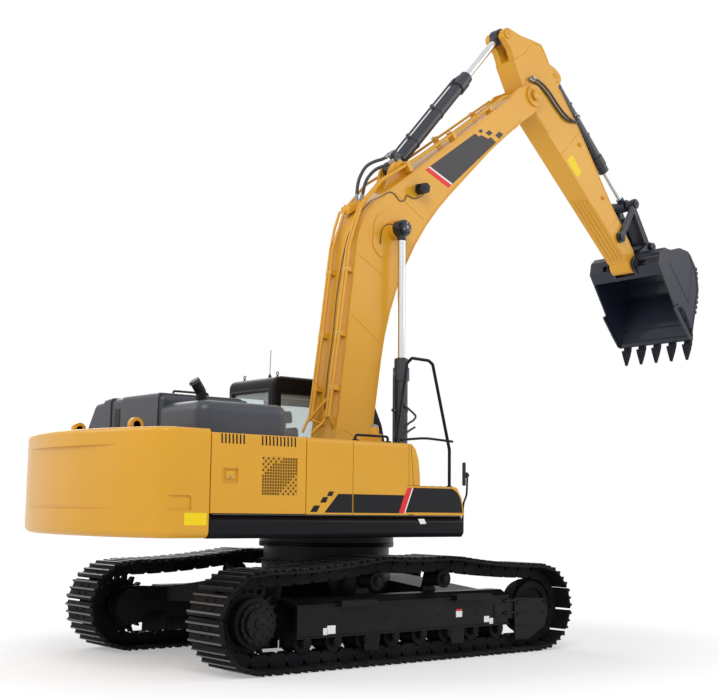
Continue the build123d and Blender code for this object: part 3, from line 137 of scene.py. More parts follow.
class Val:
    """A socket that takes part in arithmetic; every operator adds its Math node."""

    def __init__(self, paint, socket):
        self.paint = paint
        self.socket = socket

    def _math(self, operation, other):
        return self.paint.node("ShaderNodeMath", {0: self, 1: other}, operation=operation)[0]

    def __add__(self, other):
        return self._math("ADD", other)

    __radd__ = __add__

    def __sub__(self, other):
        return self._math("SUBTRACT", other)

    def __rsub__(self, other):
        return (self * -1) + other

    def __mul__(self, other):
        return self._math("MULTIPLY", other)

    __rmul__ = __mul__

    def __pow__(self, other):
        return self._math("POWER", other)

    def ramp(self, low, high):
        """0 below low, 1 above high, smooth between."""
        return self.paint.node("ShaderNodeMapRange", {"Value": self, "From Min": low, "From Max": high},
                               interpolation_type="SMOOTHSTEP")[0]


class Paint:
    """One material with its node tree."""

    def __init__(self, name, **shader):
        self.material = bpy.data.materials.new(name)
        self.material.use_nodes = True
        self.tree = self.material.node_tree
        self.shader = self.tree.nodes["Principled BSDF"]
        for socket, value in shader.items():
            self.shader.inputs[socket.replace("_", " ")].default_value = value
        self.place = self.node("ShaderNodeTexCoord")["Object"]

    def feed(self, socket, value):
        if isinstance(value, Val):
            self.tree.links.new(value.socket, socket)
        else:
            if isinstance(value, tuple) and len(value) == 3 and socket.type == "RGBA":
                value = value + (1,)
            socket.default_value = value

    def node(self, kind, inputs=None, **settings):
        """Adds a node; its result gives each output, by name or number, as a Val."""
        made = self.tree.nodes.new(kind)
        for key, value in settings.items():
            setattr(made, key, value)
        for key, value in (inputs or {}).items():
            self.feed(made.inputs[key], value)

        class Outs(dict):
            def __missing__(outs, key):
                return Val(self, made.outputs[key])
        return Outs()

    def noise(self, scale, detail=4, rough=0.55, squeeze=None):
        spot = self.place
        if squeeze:
            spot = self.node("ShaderNodeMapping", {"Vector": spot, "Scale": squeeze})["Vector"]
        return self.node("ShaderNodeTexNoise",
                         {"Vector": spot, "Scale": scale, "Detail": detail, "Roughness": rough})["Fac"]

    def wave(self, scale, direction):
        return self.node("ShaderNodeTexWave", {"Vector": self.place, "Scale": scale},
                         bands_direction=direction)["Fac"]

    def mix(self, share, first, second):
        return self.node("ShaderNodeMix", {0: share, 6: first, 7: second}, data_type="RGBA")[2]

    def bump(self, height, strength, distance):
        return self.node("ShaderNodeBump",
                         {"Height": height, "Strength": strength, "Distance": distance})["Normal"]

    def finish(self, **links):
        for socket, value in links.items():
            self.feed(self.shader.inputs[socket.replace("_", " ")], value)
        return self.material

    def height(self):
        return self.node("ShaderNodeSeparateXYZ", {0: self.place})["Z"]


def enamel(name, colour, deep, coat, shine, rough=0.28, dust=0.0):
    """Sprayed gloss paint: faint orange peel, slight shade drift, soft dust low down."""
    paint = Paint(name, Coat_Weight=coat, Coat_Roughness=0.08, Specular_IOR_Level=shine)
    drift = paint.noise(0.7, 3).ramp(0.3, 0.7)
    fine = paint.noise(55, 3)
    peel = paint.noise(210, 2)
    base = paint.mix(drift * 0.5 + fine * 0.15, colour, deep)
    if dust:
        low = (1.6 - paint.height()).ramp(0.0, 1.5) * paint.noise(3.5, 5).ramp(0.35, 0.75) * dust
        base = paint.mix(low, base, (0.21, 0.18, 0.145))
    return paint.finish(Base_Color=base, Roughness=rough + fine * 0.12 + drift * 0.05,
                        Normal=paint.bump(peel + fine * 0.5, 0.05, 0.001))


def cast_metal(name, colour, pale, dust=0.25):
    """Forged or cast part: grainy skin, polished high spots and dust between."""
    paint = Paint(name, Specular_IOR_Level=0.14)
    grainy = paint.noise(70, 6, 0.65)
    patch = paint.noise(2.3, 5).ramp(0.42, 0.7)
    base = paint.mix(grainy.ramp(0.35, 0.75), colour, pale)
    base = paint.mix(patch * dust, base, (0.17, 0.15, 0.125))
    return paint.finish(Base_Color=base, Metallic=0.3 * (1 - patch * 0.6), Roughness=0.55 + grainy * 0.25,
                        Normal=paint.bump(grainy, 0.35, 0.002))


def hard_chrome(name):
    paint = Paint(name)
    hair = paint.noise(90, 3, 0.5, (0.2, 6, 0.2))
    film = paint.noise(4, 3)
    return paint.finish(Base_Color=paint.mix(film, (0.72, 0.74, 0.76), (0.60, 0.63, 0.66)), Metallic=1.0,
                        Roughness=0.12 + hair * 0.12)


def moulded(name, colour, pale, rough=0.42, shine=0.3):
    paint = Paint(name, Specular_IOR_Level=shine)
    leather = paint.noise(240, 3)
    fade = paint.noise(1.4, 3).ramp(0.35, 0.7)
    return paint.finish(Base_Color=paint.mix(fade * 0.6 + leather * 0.2, colour, pale),
                        Roughness=rough + leather * 0.14 + fade * 0.08,
                        Normal=paint.bump(leather, 0.12, 0.001))


def rubber_hose(name):
    paint = Paint(name)
    weave = paint.noise(300, 2)
    fade = paint.noise(6, 3)
    return paint.finish(Base_Color=paint.mix(fade, (0.018, 0.018, 0.02), (0.045, 0.045, 0.048)),
                        Roughness=0.5 + weave * 0.2, Normal=paint.bump(weave, 0.2, 0.0008))


def tinted_glass(name):
    paint = Paint(name, Transmission_Weight=0.85, IOR=1.45)
    film = paint.noise(3, 3)
    return paint.finish(Base_Color=paint.mix(film, (0.88, 0.95, 0.955), (0.91, 0.965, 0.97)),
                        Roughness=0.02 + film * 0.03)


def woven(name, colour, pale):
    paint = Paint(name, Sheen_Weight=0.3)
    cloth = paint.wave(160, "Y") * 0.5 + paint.wave(160, "Z") * 0.5
    return paint.finish(Base_Color=paint.mix(cloth * 0.6 + paint.noise(12) * 0.3, colour, pale),
                        Roughness=0.85 + cloth * 0.1, Normal=paint.bump(cloth, 0.4, 0.0015))


def print_film(name, colour, deep, rough=0.35):
    """Adhesive film: even colour with light scuffs."""
    paint = Paint(name, Specular_IOR_Level=0.2)
    scuff = paint.noise(34, 5, 0.6).ramp(0.5, 0.8)
    return paint.finish(Base_Color=paint.mix(scuff * 0.35, colour, deep), Roughness=rough + scuff * 0.2)


def ground_steel(name):
    paint = Paint(name, Metallic=0.9)
    lathed = paint.noise(30, 4, 0.6, (1, 12, 1))
    return paint.finish(Base_Color=paint.mix(lathed, (0.36, 0.36, 0.37), (0.20, 0.20, 0.21)),
                        Roughness=0.32 + lathed * 0.2)


yellow = enamel("yellow_enamel", (0.690, 0.345, 0.022), (0.620, 0.295, 0.014), coat=0.22, shine=0.28)
black = enamel("black_enamel", (0.0030, 0.0030, 0.0048), (0.006, 0.006, 0.0085), coat=0.10, shine=0.10)
frame_black = enamel("undercarriage_enamel", (0.0034, 0.0034, 0.0050), (0.007, 0.007, 0.009),
                     rough=0.34, coat=0.05, dust=0.02, shine=0.13)
barrel_black = enamel("barrel_enamel", (0.022, 0.024, 0.034), (0.034, 0.037, 0.050),
                      rough=0.3, coat=0.25, shine=0.35)
bucket_black = enamel("bucket_enamel", (0.0068, 0.0098, 0.0215), (0.014, 0.018, 0.033),
                      rough=0.26, coat=0.24, shine=0.3)
track_black = cast_metal("track_steel", (0.0042, 0.0041, 0.0060), (0.014, 0.013, 0.016), dust=0.03)
# pale grey paint for painted highlights: strips on the shoes' bar tips and along the skirt's upper edge,
# standing in for light caught on those edges
painted_highlight_grey = enamel("painted_highlight_grey", (0.030, 0.030, 0.037), (0.055, 0.055, 0.063), rough=0.3, coat=0.3, shine=0.6)
tooth_black = cast_metal("cast_tooth", (0.006, 0.007, 0.012), (0.022, 0.024, 0.032), dust=0.04)
chrome = hard_chrome("rod_chrome")
hood_black = moulded("hood_moulding", (0.026, 0.030, 0.042), (0.046, 0.051, 0.066), rough=0.27, shine=0.5)
trim_black = moulded("trim_moulding", (0.0075, 0.0075, 0.010), (0.016, 0.016, 0.020))
hose_black = rubber_hose("hose_rubber")
glass = tinted_glass("tinted_glass")
seat_cloth = woven("seat_cloth", (0.022, 0.023, 0.026), (0.06, 0.062, 0.068))
pin_metal = ground_steel("pin_steel")
zinc = moulded("zinc_plate", (0.52, 0.48, 0.36), (0.62, 0.58, 0.46), rough=0.35)
engine_iron = cast_metal("engine_iron", (0.06, 0.062, 0.066), (0.12, 0.12, 0.13))
film_black = print_film("film_black", (0.0075, 0.0070, 0.0095), (0.014, 0.013, 0.016))
film_red = print_film("film_red", (0.72, 0.035, 0.045), (0.6, 0.03, 0.04))
film_white = print_film("film_white", (0.82, 0.82, 0.82), (0.7, 0.7, 0.7))
film_grey = print_film("film_grey", (0.050, 0.047, 0.050), (0.065, 0.062, 0.065))
film_yellow = print_film("film_yellow", (0.84, 0.62, 0.012), (0.78, 0.56, 0.01))
lamp_glass = print_film("lamp_glass", (0.75, 0.78, 0.8), (0.6, 0.62, 0.65), rough=0.08)

# material slot and paint of the pieces that come in numbers
YELLOW = ("yellow_paint", yellow)
BLACK_TRIM = ("black_paint", trim_black)
CAB_TRIM = ("trim_plastic", trim_black)
STEEL = ("pin_steel", pin_metal)
HOSE = ("black_paint", hose_black)
BUCKET_STEEL = ("bucket_steel", bucket_black)
FRAME = ("undercarriage", "black_paint", frame_black)

SLOT_PAINT = {
    "yellow_paint": yellow, "black_paint": black, "track_steel": track_black, "pin_steel": pin_metal,
    "engine_iron": engine_iron, "hood_plastic": hood_black, "trim_plastic": trim_black, "cab_glass": glass,
    "seat_fabric": seat_cloth, "chrome_rod": chrome, "bucket_steel": bucket_black, "tooth_steel": tooth_black,
}
NODE_PAINT = {"toolbox": yellow, "boom_pins": pin_metal}
for dark, group in ((frame_black, ("track_frame_left", "track_frame_right", "carbody", "slew_ring_lower",
                                   "slew_ring_upper", "final_drives")),
                    (barrel_black, ("boom_cylinder_barrels", "arm_cylinder_barrel",
                                    "bucket_cylinder_barrel")),
                    (bucket_black, ("rocker_links", "h_link", "boom_cylinder_rod_eyes",
                                    "arm_cylinder_rod_eye", "bucket_cylinder_rod_eye", "arm_pins",
                                    "bucket_pin"))):
    NODE_PAINT.update(dict.fromkeys(group, dark))


def dress_cad():
    slots = {entry["node"]: entry["material_slot"] for entry in frame["record"]["subparts"]}
    for name, piece in nodes.items():
        paint = NODE_PAINT.get(name, SLOT_PAINT[slots[name]])
        if not piece.data.materials:
            piece.data.materials.append(paint)
        for slot in piece.material_slots:
            slot.material = paint


def alone(piece):
    """Makes the piece the only selected one, and active."""
    bpy.ops.object.select_all(action="DESELECT")
    piece.select_set(True)
    bpy.context.view_layer.objects.active = piece


def ease(piece, width, steps=2):
    """Bevels the sharp edges and shades the piece smooth between them."""
    alone(piece)
    if width > 0:
        bevel = piece.modifiers.new("ease", "BEVEL")
        bevel.width = width
        bevel.segments = steps
        bevel.limit_method = "ANGLE"
        bevel.angle_limit = math.radians(32)
        bpy.ops.object.modifier_apply(modifier=bevel.name)
    bpy.ops.object.shade_smooth_by_angle(angle=SMOOTH_ANGLE)
    return piece


def settle(piece):
    """Puts the object's place into its mesh."""
    alone(piece)
    bpy.ops.object.transform_apply(location=True, rotation=True, scale=True)
    return piece


def brick(low, high, bevel=0.004, steps=2):
    low, high = Vector(low), Vector(high)
    bpy.ops.object.select_all(action="DESELECT")
    bpy.ops.mesh.primitive_cube_add(size=1, location=(low + high) / 2)
    piece = bpy.context.object
    piece.scale = [abs(d) for d in (high - low)]
    settle(piece)
    return ease(piece, bevel, steps)


def rod(p, q, radius, verts=24, bevel=0.003):
    """Round bar from p to q."""
    p, q = Vector(p), Vector(q)
    bpy.ops.object.select_all(action="DESELECT")
    bpy.ops.mesh.primitive_cone_add(vertices=verts, radius1=radius, radius2=radius,
                                    depth=(q - p).length, location=(p + q) / 2)
    piece = bpy.context.object
    piece.rotation_euler = (q - p).to_track_quat("Z", "Y").to_euler()
    settle(piece)
    return ease(piece, bevel, 2)


def sheet(corners, depth, bevel=0.002, steps=2):
    """Flat plate with any outline of 3-D corners, given its thickness by an extrusion along depth."""
    bpy.ops.object.select_all(action="DESELECT")
    bpy.ops.mesh.primitive_circle_add(vertices=len(corners), fill_type="NGON")
    piece = bpy.context.object
    for vertex, corner in zip(piece.data.vertices, corners):
        vertex.co = corner
    bpy.ops.object.mode_set(mode="EDIT")
    bpy.ops.mesh.select_all(action="SELECT")
    bpy.ops.mesh.extrude_region_move(TRANSFORM_OT_translate={"value": Vector(depth)})
    bpy.ops.mesh.select_all(action="SELECT")
    bpy.ops.mesh.normals_make_consistent(inside=False)
    bpy.ops.object.mode_set(mode="OBJECT")
    return ease(piece, bevel, steps)


def flat(corners, y, depth, bevel=0.002, steps=2):
    """Plate square to the machine's side, from (x, z) corners at y."""
    return sheet([(x, y, z) for x, z in corners], (0, depth, 0), bevel, steps)


def turned(profile, origin, axis, steps=32, bevel=0.0):
    """Lathe part: rings at (along, radius), pulled out of one disc about an axis through origin."""
    bpy.ops.object.select_all(action="DESELECT")
    start, first = profile[0]
    bpy.ops.mesh.primitive_circle_add(vertices=steps, radius=first, fill_type="NGON", location=(0, 0, start))
    piece = settle(bpy.context.object)
    bpy.ops.object.mode_set(mode="EDIT")
    bpy.ops.mesh.select_all(action="SELECT")
    for (a, r), (b, s) in zip(profile, profile[1:]):
        bpy.ops.mesh.extrude_region_move(TRANSFORM_OT_translate={"value": (0, 0, b - a)})
        bpy.ops.transform.resize(value=(s / r, s / r, 1), center_override=(0, 0, b))
    bpy.ops.mesh.select_all(action="SELECT")
    bpy.ops.mesh.normals_make_consistent(inside=False)
    bpy.ops.object.mode_set(mode="OBJECT")
    piece.rotation_euler = Vector(axis).to_track_quat("Z", "Y").to_euler()
    piece.location = origin
    settle(piece)
    return ease(piece, bevel)


def rounded(points, bend, steps):
    """The same line with its corners rounded."""
    points = [Vector(p) for p in points]
    out = [points[0]]
    for before, here, after in zip(points, points[1:], points[2:]):
        u, v = (before - here), (after - here)
        back = min(bend, u.length * 0.49, v.length * 0.49)
        p, q = here + u.normalized() * back, here + v.normalized() * back
        for i in range(steps + 1):
            t = i / steps
            out.append(p * (1 - t) ** 2 + here * 2 * t * (1 - t) + q * t * t)
    return out + [points[-1]]


def tube(points, radius, bend, sides, steps):
    """Pipe or hose along a line with rounded corners, closed at both ends."""
    line = rounded(points, bend, steps)
    curve = bpy.data.curves.new("tube", "CURVE")
    curve.dimensions = "3D"
    curve.bevel_depth = radius
    curve.bevel_resolution = sides
    curve.use_fill_caps = True
    spline = curve.splines.new("POLY")
    spline.points.add(len(line) - 1)
    for point, place in zip(spline.points, line):
        point.co = (*place, 1)
    piece = bpy.data.objects.new("tube", curve)
    bpy.context.collection.objects.link(piece)
    alone(piece)
    bpy.ops.object.convert(target="MESH")
    return ease(bpy.context.object, 0)


def hexes(places, axis, radius, height, washer=True):
    """Bolt heads on washers, all in one mesh; places are where they sit, axis points outwards."""
    bpy.ops.object.select_all(action="DESELECT")
    bpy.ops.mesh.primitive_cylinder_add(vertices=6, radius=radius, depth=height, location=(0, 0, height / 2))
    head = settle(bpy.context.object)
    ease(head, radius * 0.12, 1)
    parts = [head]
    if washer:
        bpy.ops.object.select_all(action="DESELECT")
        bpy.ops.mesh.primitive_cylinder_add(vertices=16, radius=radius * 1.35, depth=height * 0.3,
                                            location=(0, 0, height * 0.12))
        parts.append(settle(bpy.context.object))
    turn = Vector(axis).to_track_quat("Z", "Y").to_matrix().to_4x4()
    return copies(joined(parts), [Matrix.Translation(Vector(p)) @ turn for p in places])


def ring_of(count, radius, centre, y, start=0.0):
    """Places on a circle in the side view."""
    turns = [math.radians(start) + math.tau * i / count for i in range(count)]
    return [(centre[0] + radius * math.cos(t), y, centre[1] + radius * math.sin(t)) for t in turns]


def frame_ring(low_x, high_x, low_z, high_z, wide, y):
    """Corners of a square frame in the side view, as one closed outline with a slit."""
    slit = 0.0004
    outer = [(low_x, low_z), (high_x, low_z), (high_x, high_z), (low_x, high_z), (low_x, low_z + slit)]
    inner = [(low_x + wide, low_z + wide + slit), (low_x + wide, high_z - wide),
             (high_x - wide, high_z - wide), (high_x - wide, low_z + wide), (low_x + wide, low_z + wide)]
    return [Vector((x, y, z)) for x, z in outer + inner]


def copies(piece, matrices):
    """One mesh that holds a copy of piece at every matrix; piece itself goes."""
    source = piece.data
    made = bmesh.new()
    for matrix in matrices:
        start = len(made.verts)
        made.from_mesh(source)
        made.verts.ensure_lookup_table()
        bmesh.ops.transform(made, matrix=matrix, verts=made.verts[start:])
        if matrix.determinant() < 0:
            made.faces.ensure_lookup_table()
            fresh = [f for f in made.faces if f.verts[0].index >= start or f.verts[0].index < 0]
            bmesh.ops.reverse_faces(made, faces=fresh)
        made.verts.index_update()
    mesh = bpy.data.meshes.new("copies")
    made.to_mesh(mesh)
    made.free()
    mesh.materials.clear()
    result = bpy.data.objects.new("copies", mesh)
    bpy.context.collection.objects.link(result)
    bpy.data.objects.remove(piece)
    alone(result)
    bpy.ops.object.shade_smooth_by_angle(angle=SMOOTH_ANGLE)
    return result


def copies_kept(piece, matrices):
    """The same as copies, but the pattern piece stays."""
    twin = piece.copy()
    twin.data = piece.data.copy()
    bpy.context.collection.objects.link(twin)
    return copies(twin, matrices)


def joined(parts):
    """One piece out of several; a single piece passes through."""
    if not isinstance(parts, list):
        return parts
    bpy.ops.object.select_all(action="DESELECT")
    for part in parts:
        part.select_set(True)
    bpy.context.view_layer.objects.active = parts[0]
    if len(parts) > 1:
        bpy.ops.object.join()
    return bpy.context.view_layer.objects.active


def fit(parts, name, body, slot, paint):
    """Joins the parts, names and paints the piece and lets it ride on its body."""
    piece = joined(parts)
    piece.name = name
    piece.data.name = name
    piece.data.materials.clear()
    piece.data.materials.append(paint)
    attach(piece, body)
    return piece


def both(parts, name, body, slot, paint):
    """Fits right-hand parts and their mirror image as one piece."""
    mirror = Matrix.Scale(-1, 4, LEFT)
    return fit(copies(joined(parts), [Matrix.Identity(4), mirror]), name, body, slot, paint)


class Link:
    """Frame along a link of the front, in the side view."""

    def __init__(self, x, z, degrees):
        self.x, self.z = x, z
        self.c, self.s = math.cos(math.radians(degrees)), math.sin(math.radians(degrees))

    def at(self, along, above, y=0.0):
        return Vector((self.x + along * self.c - above * self.s, y, self.z + along * self.s + above * self.c))

    def way(self, along, above):
        return self.at(along, above) - self.at(0, 0)

    def line(self, points, y=0.0):
        """Machine coordinates of (along, above) points at y, or of points with a y of their own."""
        return [self.at(*point) if len(point) > 2 else self.at(*point, y) for point in points]

    def plate(self, corners, y, depth, bevel=0.002, steps=2):
        """Plate square to the machine's side, from (along, above) corners at y."""
        return sheet(self.line(corners, y), (0, depth, 0), bevel, steps)


def toward(p, q):
    """Frame along the line from p to q, and the length of that line."""
    turn = math.degrees(math.atan2(q[2] - p[2], q[0] - p[0]))
    return Link(p[0], p[2], turn), (Vector(q) - Vector(p)).length


boom = Link(0.095, 2.120, 58.014)
arm_pin = boom.at(6.249, 0)
arm = Link(arm_pin.x, arm_pin.z, -42.767)
bucket_pin = arm.at(3.085, 0)
BUCKET_TURN = -60.997
bucket = Link(bucket_pin.x, bucket_pin.z, BUCKET_TURN)
boom_top_pin = boom.at(2.876, 0.965)
boom_cylinder_foot = Vector((0.815, 0, 1.560))
arm_cylinder_foot = boom.at(3.717, 1.278)
arm_cylinder_top = arm.at(-0.892, 0.272)
bucket_cylinder_foot = arm.at(0.153, 0.755)
rocker_pin = arm.at(2.599, 0.047)
rocker_top = arm.at(2.465, 0.693)
link_foot = bucket.at(-0.094, 0.481)

# outer faces on the right, as y, and half widths of the front's box sections
RIGHT_FACE = -1.490
FRAME_FACE = -1.4702
BOOM_HALF = 0.240
ARM_HALF = 0.175
BUCKET_HALF = 0.6505
CYLINDER_Y = 0.395
ROCKER_FACE = 0.2256
FILM_LIFT = 0.0002
FILM_THICK = 0.0015

TRACK_CENTRE = 1.295
RAIL_OFFSET = 0.080
SPROCKET = (-2.020, 0.495)
IDLER = (2.020, 0.490)
JOINT_RADIUS = 0.400
PIN_DEPTH = 0.120
PIN_ABOVE_RAIL = 0.060
CARRIER_XS = (-0.420, 0.566)
CARRIER_HEIGHT = 0.857
CARRIER_CROWN = 1.007
CHAIN_SAG = 0.030
SHOE_COUNT = 48
SHOE_HALF = 0.300
BAR_TOP = 0.1795
ROLLER_XS = [-1.4 + 0.4 * i for i in range(8)]
ROLLER_HEIGHT = 0.2764


def make_floor():
    """White floor that keeps the machine's shadow and runs into the white background further out."""
    bpy.ops.object.select_all(action="DESELECT")
    bpy.ops.mesh.primitive_plane_add(size=120, location=(0, 0, -0.004))
    floor = settle(bpy.context.object)
    floor.name = "floor"
    paint = Paint("floor_paint", Roughness=0.95, Specular_IOR_Level=0.1, Emission_Strength=1.0)
    split = paint.node("ShaderNodeSeparateXYZ", {0: paint.place})
    x, y = split["X"], split["Y"]
    away = ((x - 0.6) * (x - 0.6) + y * y * 1.7) ** 0.5
    far = away.ramp(3.4, 6.2)
    tone = paint.mix(paint.noise(0.3, 2), (0.60, 0.60, 0.605), (0.62, 0.62, 0.625))
    floor.data.materials.append(paint.finish(Base_Color=paint.mix(far, tone, (0, 0, 0)),
                                             Emission_Color=paint.mix(far, (0.36, 0.36, 0.365), (1, 1, 1))))


def wheel_point(centre, degrees):
    """Point of the pin line round a wheel; its lower half is flatter, so that it meets the ground run."""
    turn = math.radians(degrees)
    tall = JOINT_RADIUS if math.sin(turn) > 0 else centre[1] - PIN_DEPTH
    return centre[0] + JOINT_RADIUS * math.cos(turn), centre[1] + tall * math.sin(turn)


def chain_joints():
    """Joints of the track chain at equal spacing, in the order in which the loop runs."""
    line = [wheel_point(SPROCKET, 270 - 7.5 * i) for i in range(25)]
    holds = [(SPROCKET[0], SPROCKET[1] + JOINT_RADIUS), (CARRIER_XS[0], CARRIER_CROWN),
             (CARRIER_XS[1], CARRIER_CROWN), (IDLER[0], IDLER[1] + JOINT_RADIUS)]
    for (x0, z0), (x1, z1) in zip(holds, holds[1:]):
        for k in range(1, 9):
            t = k / 8
            line.append((x0 + (x1 - x0) * t,
                         z0 + (z1 - z0) * t - CHAIN_SAG * 4 * t * (1 - t) * (x1 - x0) / 1.6))
    line += [wheel_point(IDLER, 90 - 7.5 * i) for i in range(1, 25)]
    loop = line + [line[0]]
    lengths = [math.dist(p, q) for p, q in zip(loop, loop[1:])]
    pitch = sum(lengths) / SHOE_COUNT
    joints, travelled, target = [], 0, 0
    for p, q, length in zip(loop, loop[1:], lengths):
        while target <= travelled + length and len(joints) < SHOE_COUNT:
            t = (target - travelled) / length
            joints.append((p[0] + (q[0] - p[0]) * t, p[1] + (q[1] - p[1]) * t))
            target += pitch
        travelled += length
    return joints, pitch


def shoe_places(joints, pitch):
    """Matrices that lay a shoe, drawn along its rail line, between each two joints."""
    places = []
    for i, p in enumerate(joints):
        q = joints[(i + 1) % SHOE_COUNT]
        length = math.dist(p, q)
        x, z = (q[0] - p[0]) / length, (q[1] - p[1]) / length
        stretch = length / pitch
        places.append(Matrix(((x * stretch, 0, -z, p[0] + z * PIN_ABOVE_RAIL), (0, 1, 0, 0),
                              (z * stretch, 0, x, p[1] - x * PIN_ABOVE_RAIL), (0, 0, 0, 1))))
    return places


def make_tracks():
    """Shoes with three bars, bolted to two rows of links on bushed pins, with paler strips on the bar tips as
    a painted highlight.
    """
    joints, pitch = chain_joints()
    places = shoe_places(joints, pitch)
    # (share of the pitch, height above the rail line)
    shoe_line = [(0.02, 0.129), (-0.045, 0.138), (-0.045, 0.149), (0.045, 0.1775), (0.125, BAR_TOP),
                 (0.19, 0.152), (0.42, 0.1505), (0.465, BAR_TOP), (0.545, BAR_TOP), (0.59, 0.1505),
                 (0.81, 0.152), (0.865, BAR_TOP), (0.935, BAR_TOP), (0.985, 0.149), (1.075, 0.135),
                 (1.075, 0.122), (0.985, 0.129)]
    link_line = [(0.035, 0.024), (0.15, 0.0004), (0.85, 0.0004), (0.965, 0.024), (0.985, 0.06),
                 (0.955, 0.098), (0.86, 0.1285), (0.14, 0.1285), (0.045, 0.098), (0.015, 0.06)]
    bolt_shares = (0.305, 0.70)
    shoe = flat([(s * pitch, n) for s, n in shoe_line], -SHOE_HALF, 2 * SHOE_HALF, 0.003, 1)
    bolts = hexes([(pitch * s, y, 0.1515) for s in bolt_shares for y in (-RAIL_OFFSET, RAIL_OFFSET)],
                  UP, 0.014, 0.012, washer=False)
    links = []
    for middle in (-RAIL_OFFSET, RAIL_OFFSET):
        links.append(flat([(s * pitch, n) for s, n in link_line], middle - 0.0235, 0.047, 0.004, 1))
        for side in (-1, 1):
            links.append(hexes([(pitch * s, middle + side * 0.0235, 0.100) for s in bolt_shares],
                               (0, side, 0), 0.015, 0.007, washer=False))
    pin = turned([(-0.109, 0.012), (-0.109, 0.027), (-0.106, 0.033), (-0.0565, 0.033), (-0.056, 0.029),
                  (0.056, 0.029), (0.0565, 0.033), (0.106, 0.033), (0.109, 0.027), (0.109, 0.012)],
                 (0, 0, PIN_ABOVE_RAIL), LEFT, 14)
    segment = joined([shoe, bolts] + links + [pin])
    # paler grey strips on the tips of the three bars: a painted highlight where the bar edges catch the light
    tips = joined([brick((low * pitch - 0.001, -SHOE_HALF + 0.002, 0.168),
                         (high * pitch + 0.001, SHOE_HALF - 0.002, BAR_TOP + 0.0002), 0)
                   for low, high in ((0.045, 0.125), (0.465, 0.545), (0.865, 0.935))])
    for pattern, name, paint in ((tips, "shoe_bars_", painted_highlight_grey), (segment, "track_chain_", track_black)):
        loop = copies(pattern, places)
        for side, word in SIDES:
            track = copies_kept(loop, [Matrix.Translation((0, side * TRACK_CENTRE, 0))])
            fit(track, name + word, "undercarriage", "track_steel", paint)
            if paint is track_black:
                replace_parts(track, "track_" + word)
        bpy.data.objects.remove(loop)


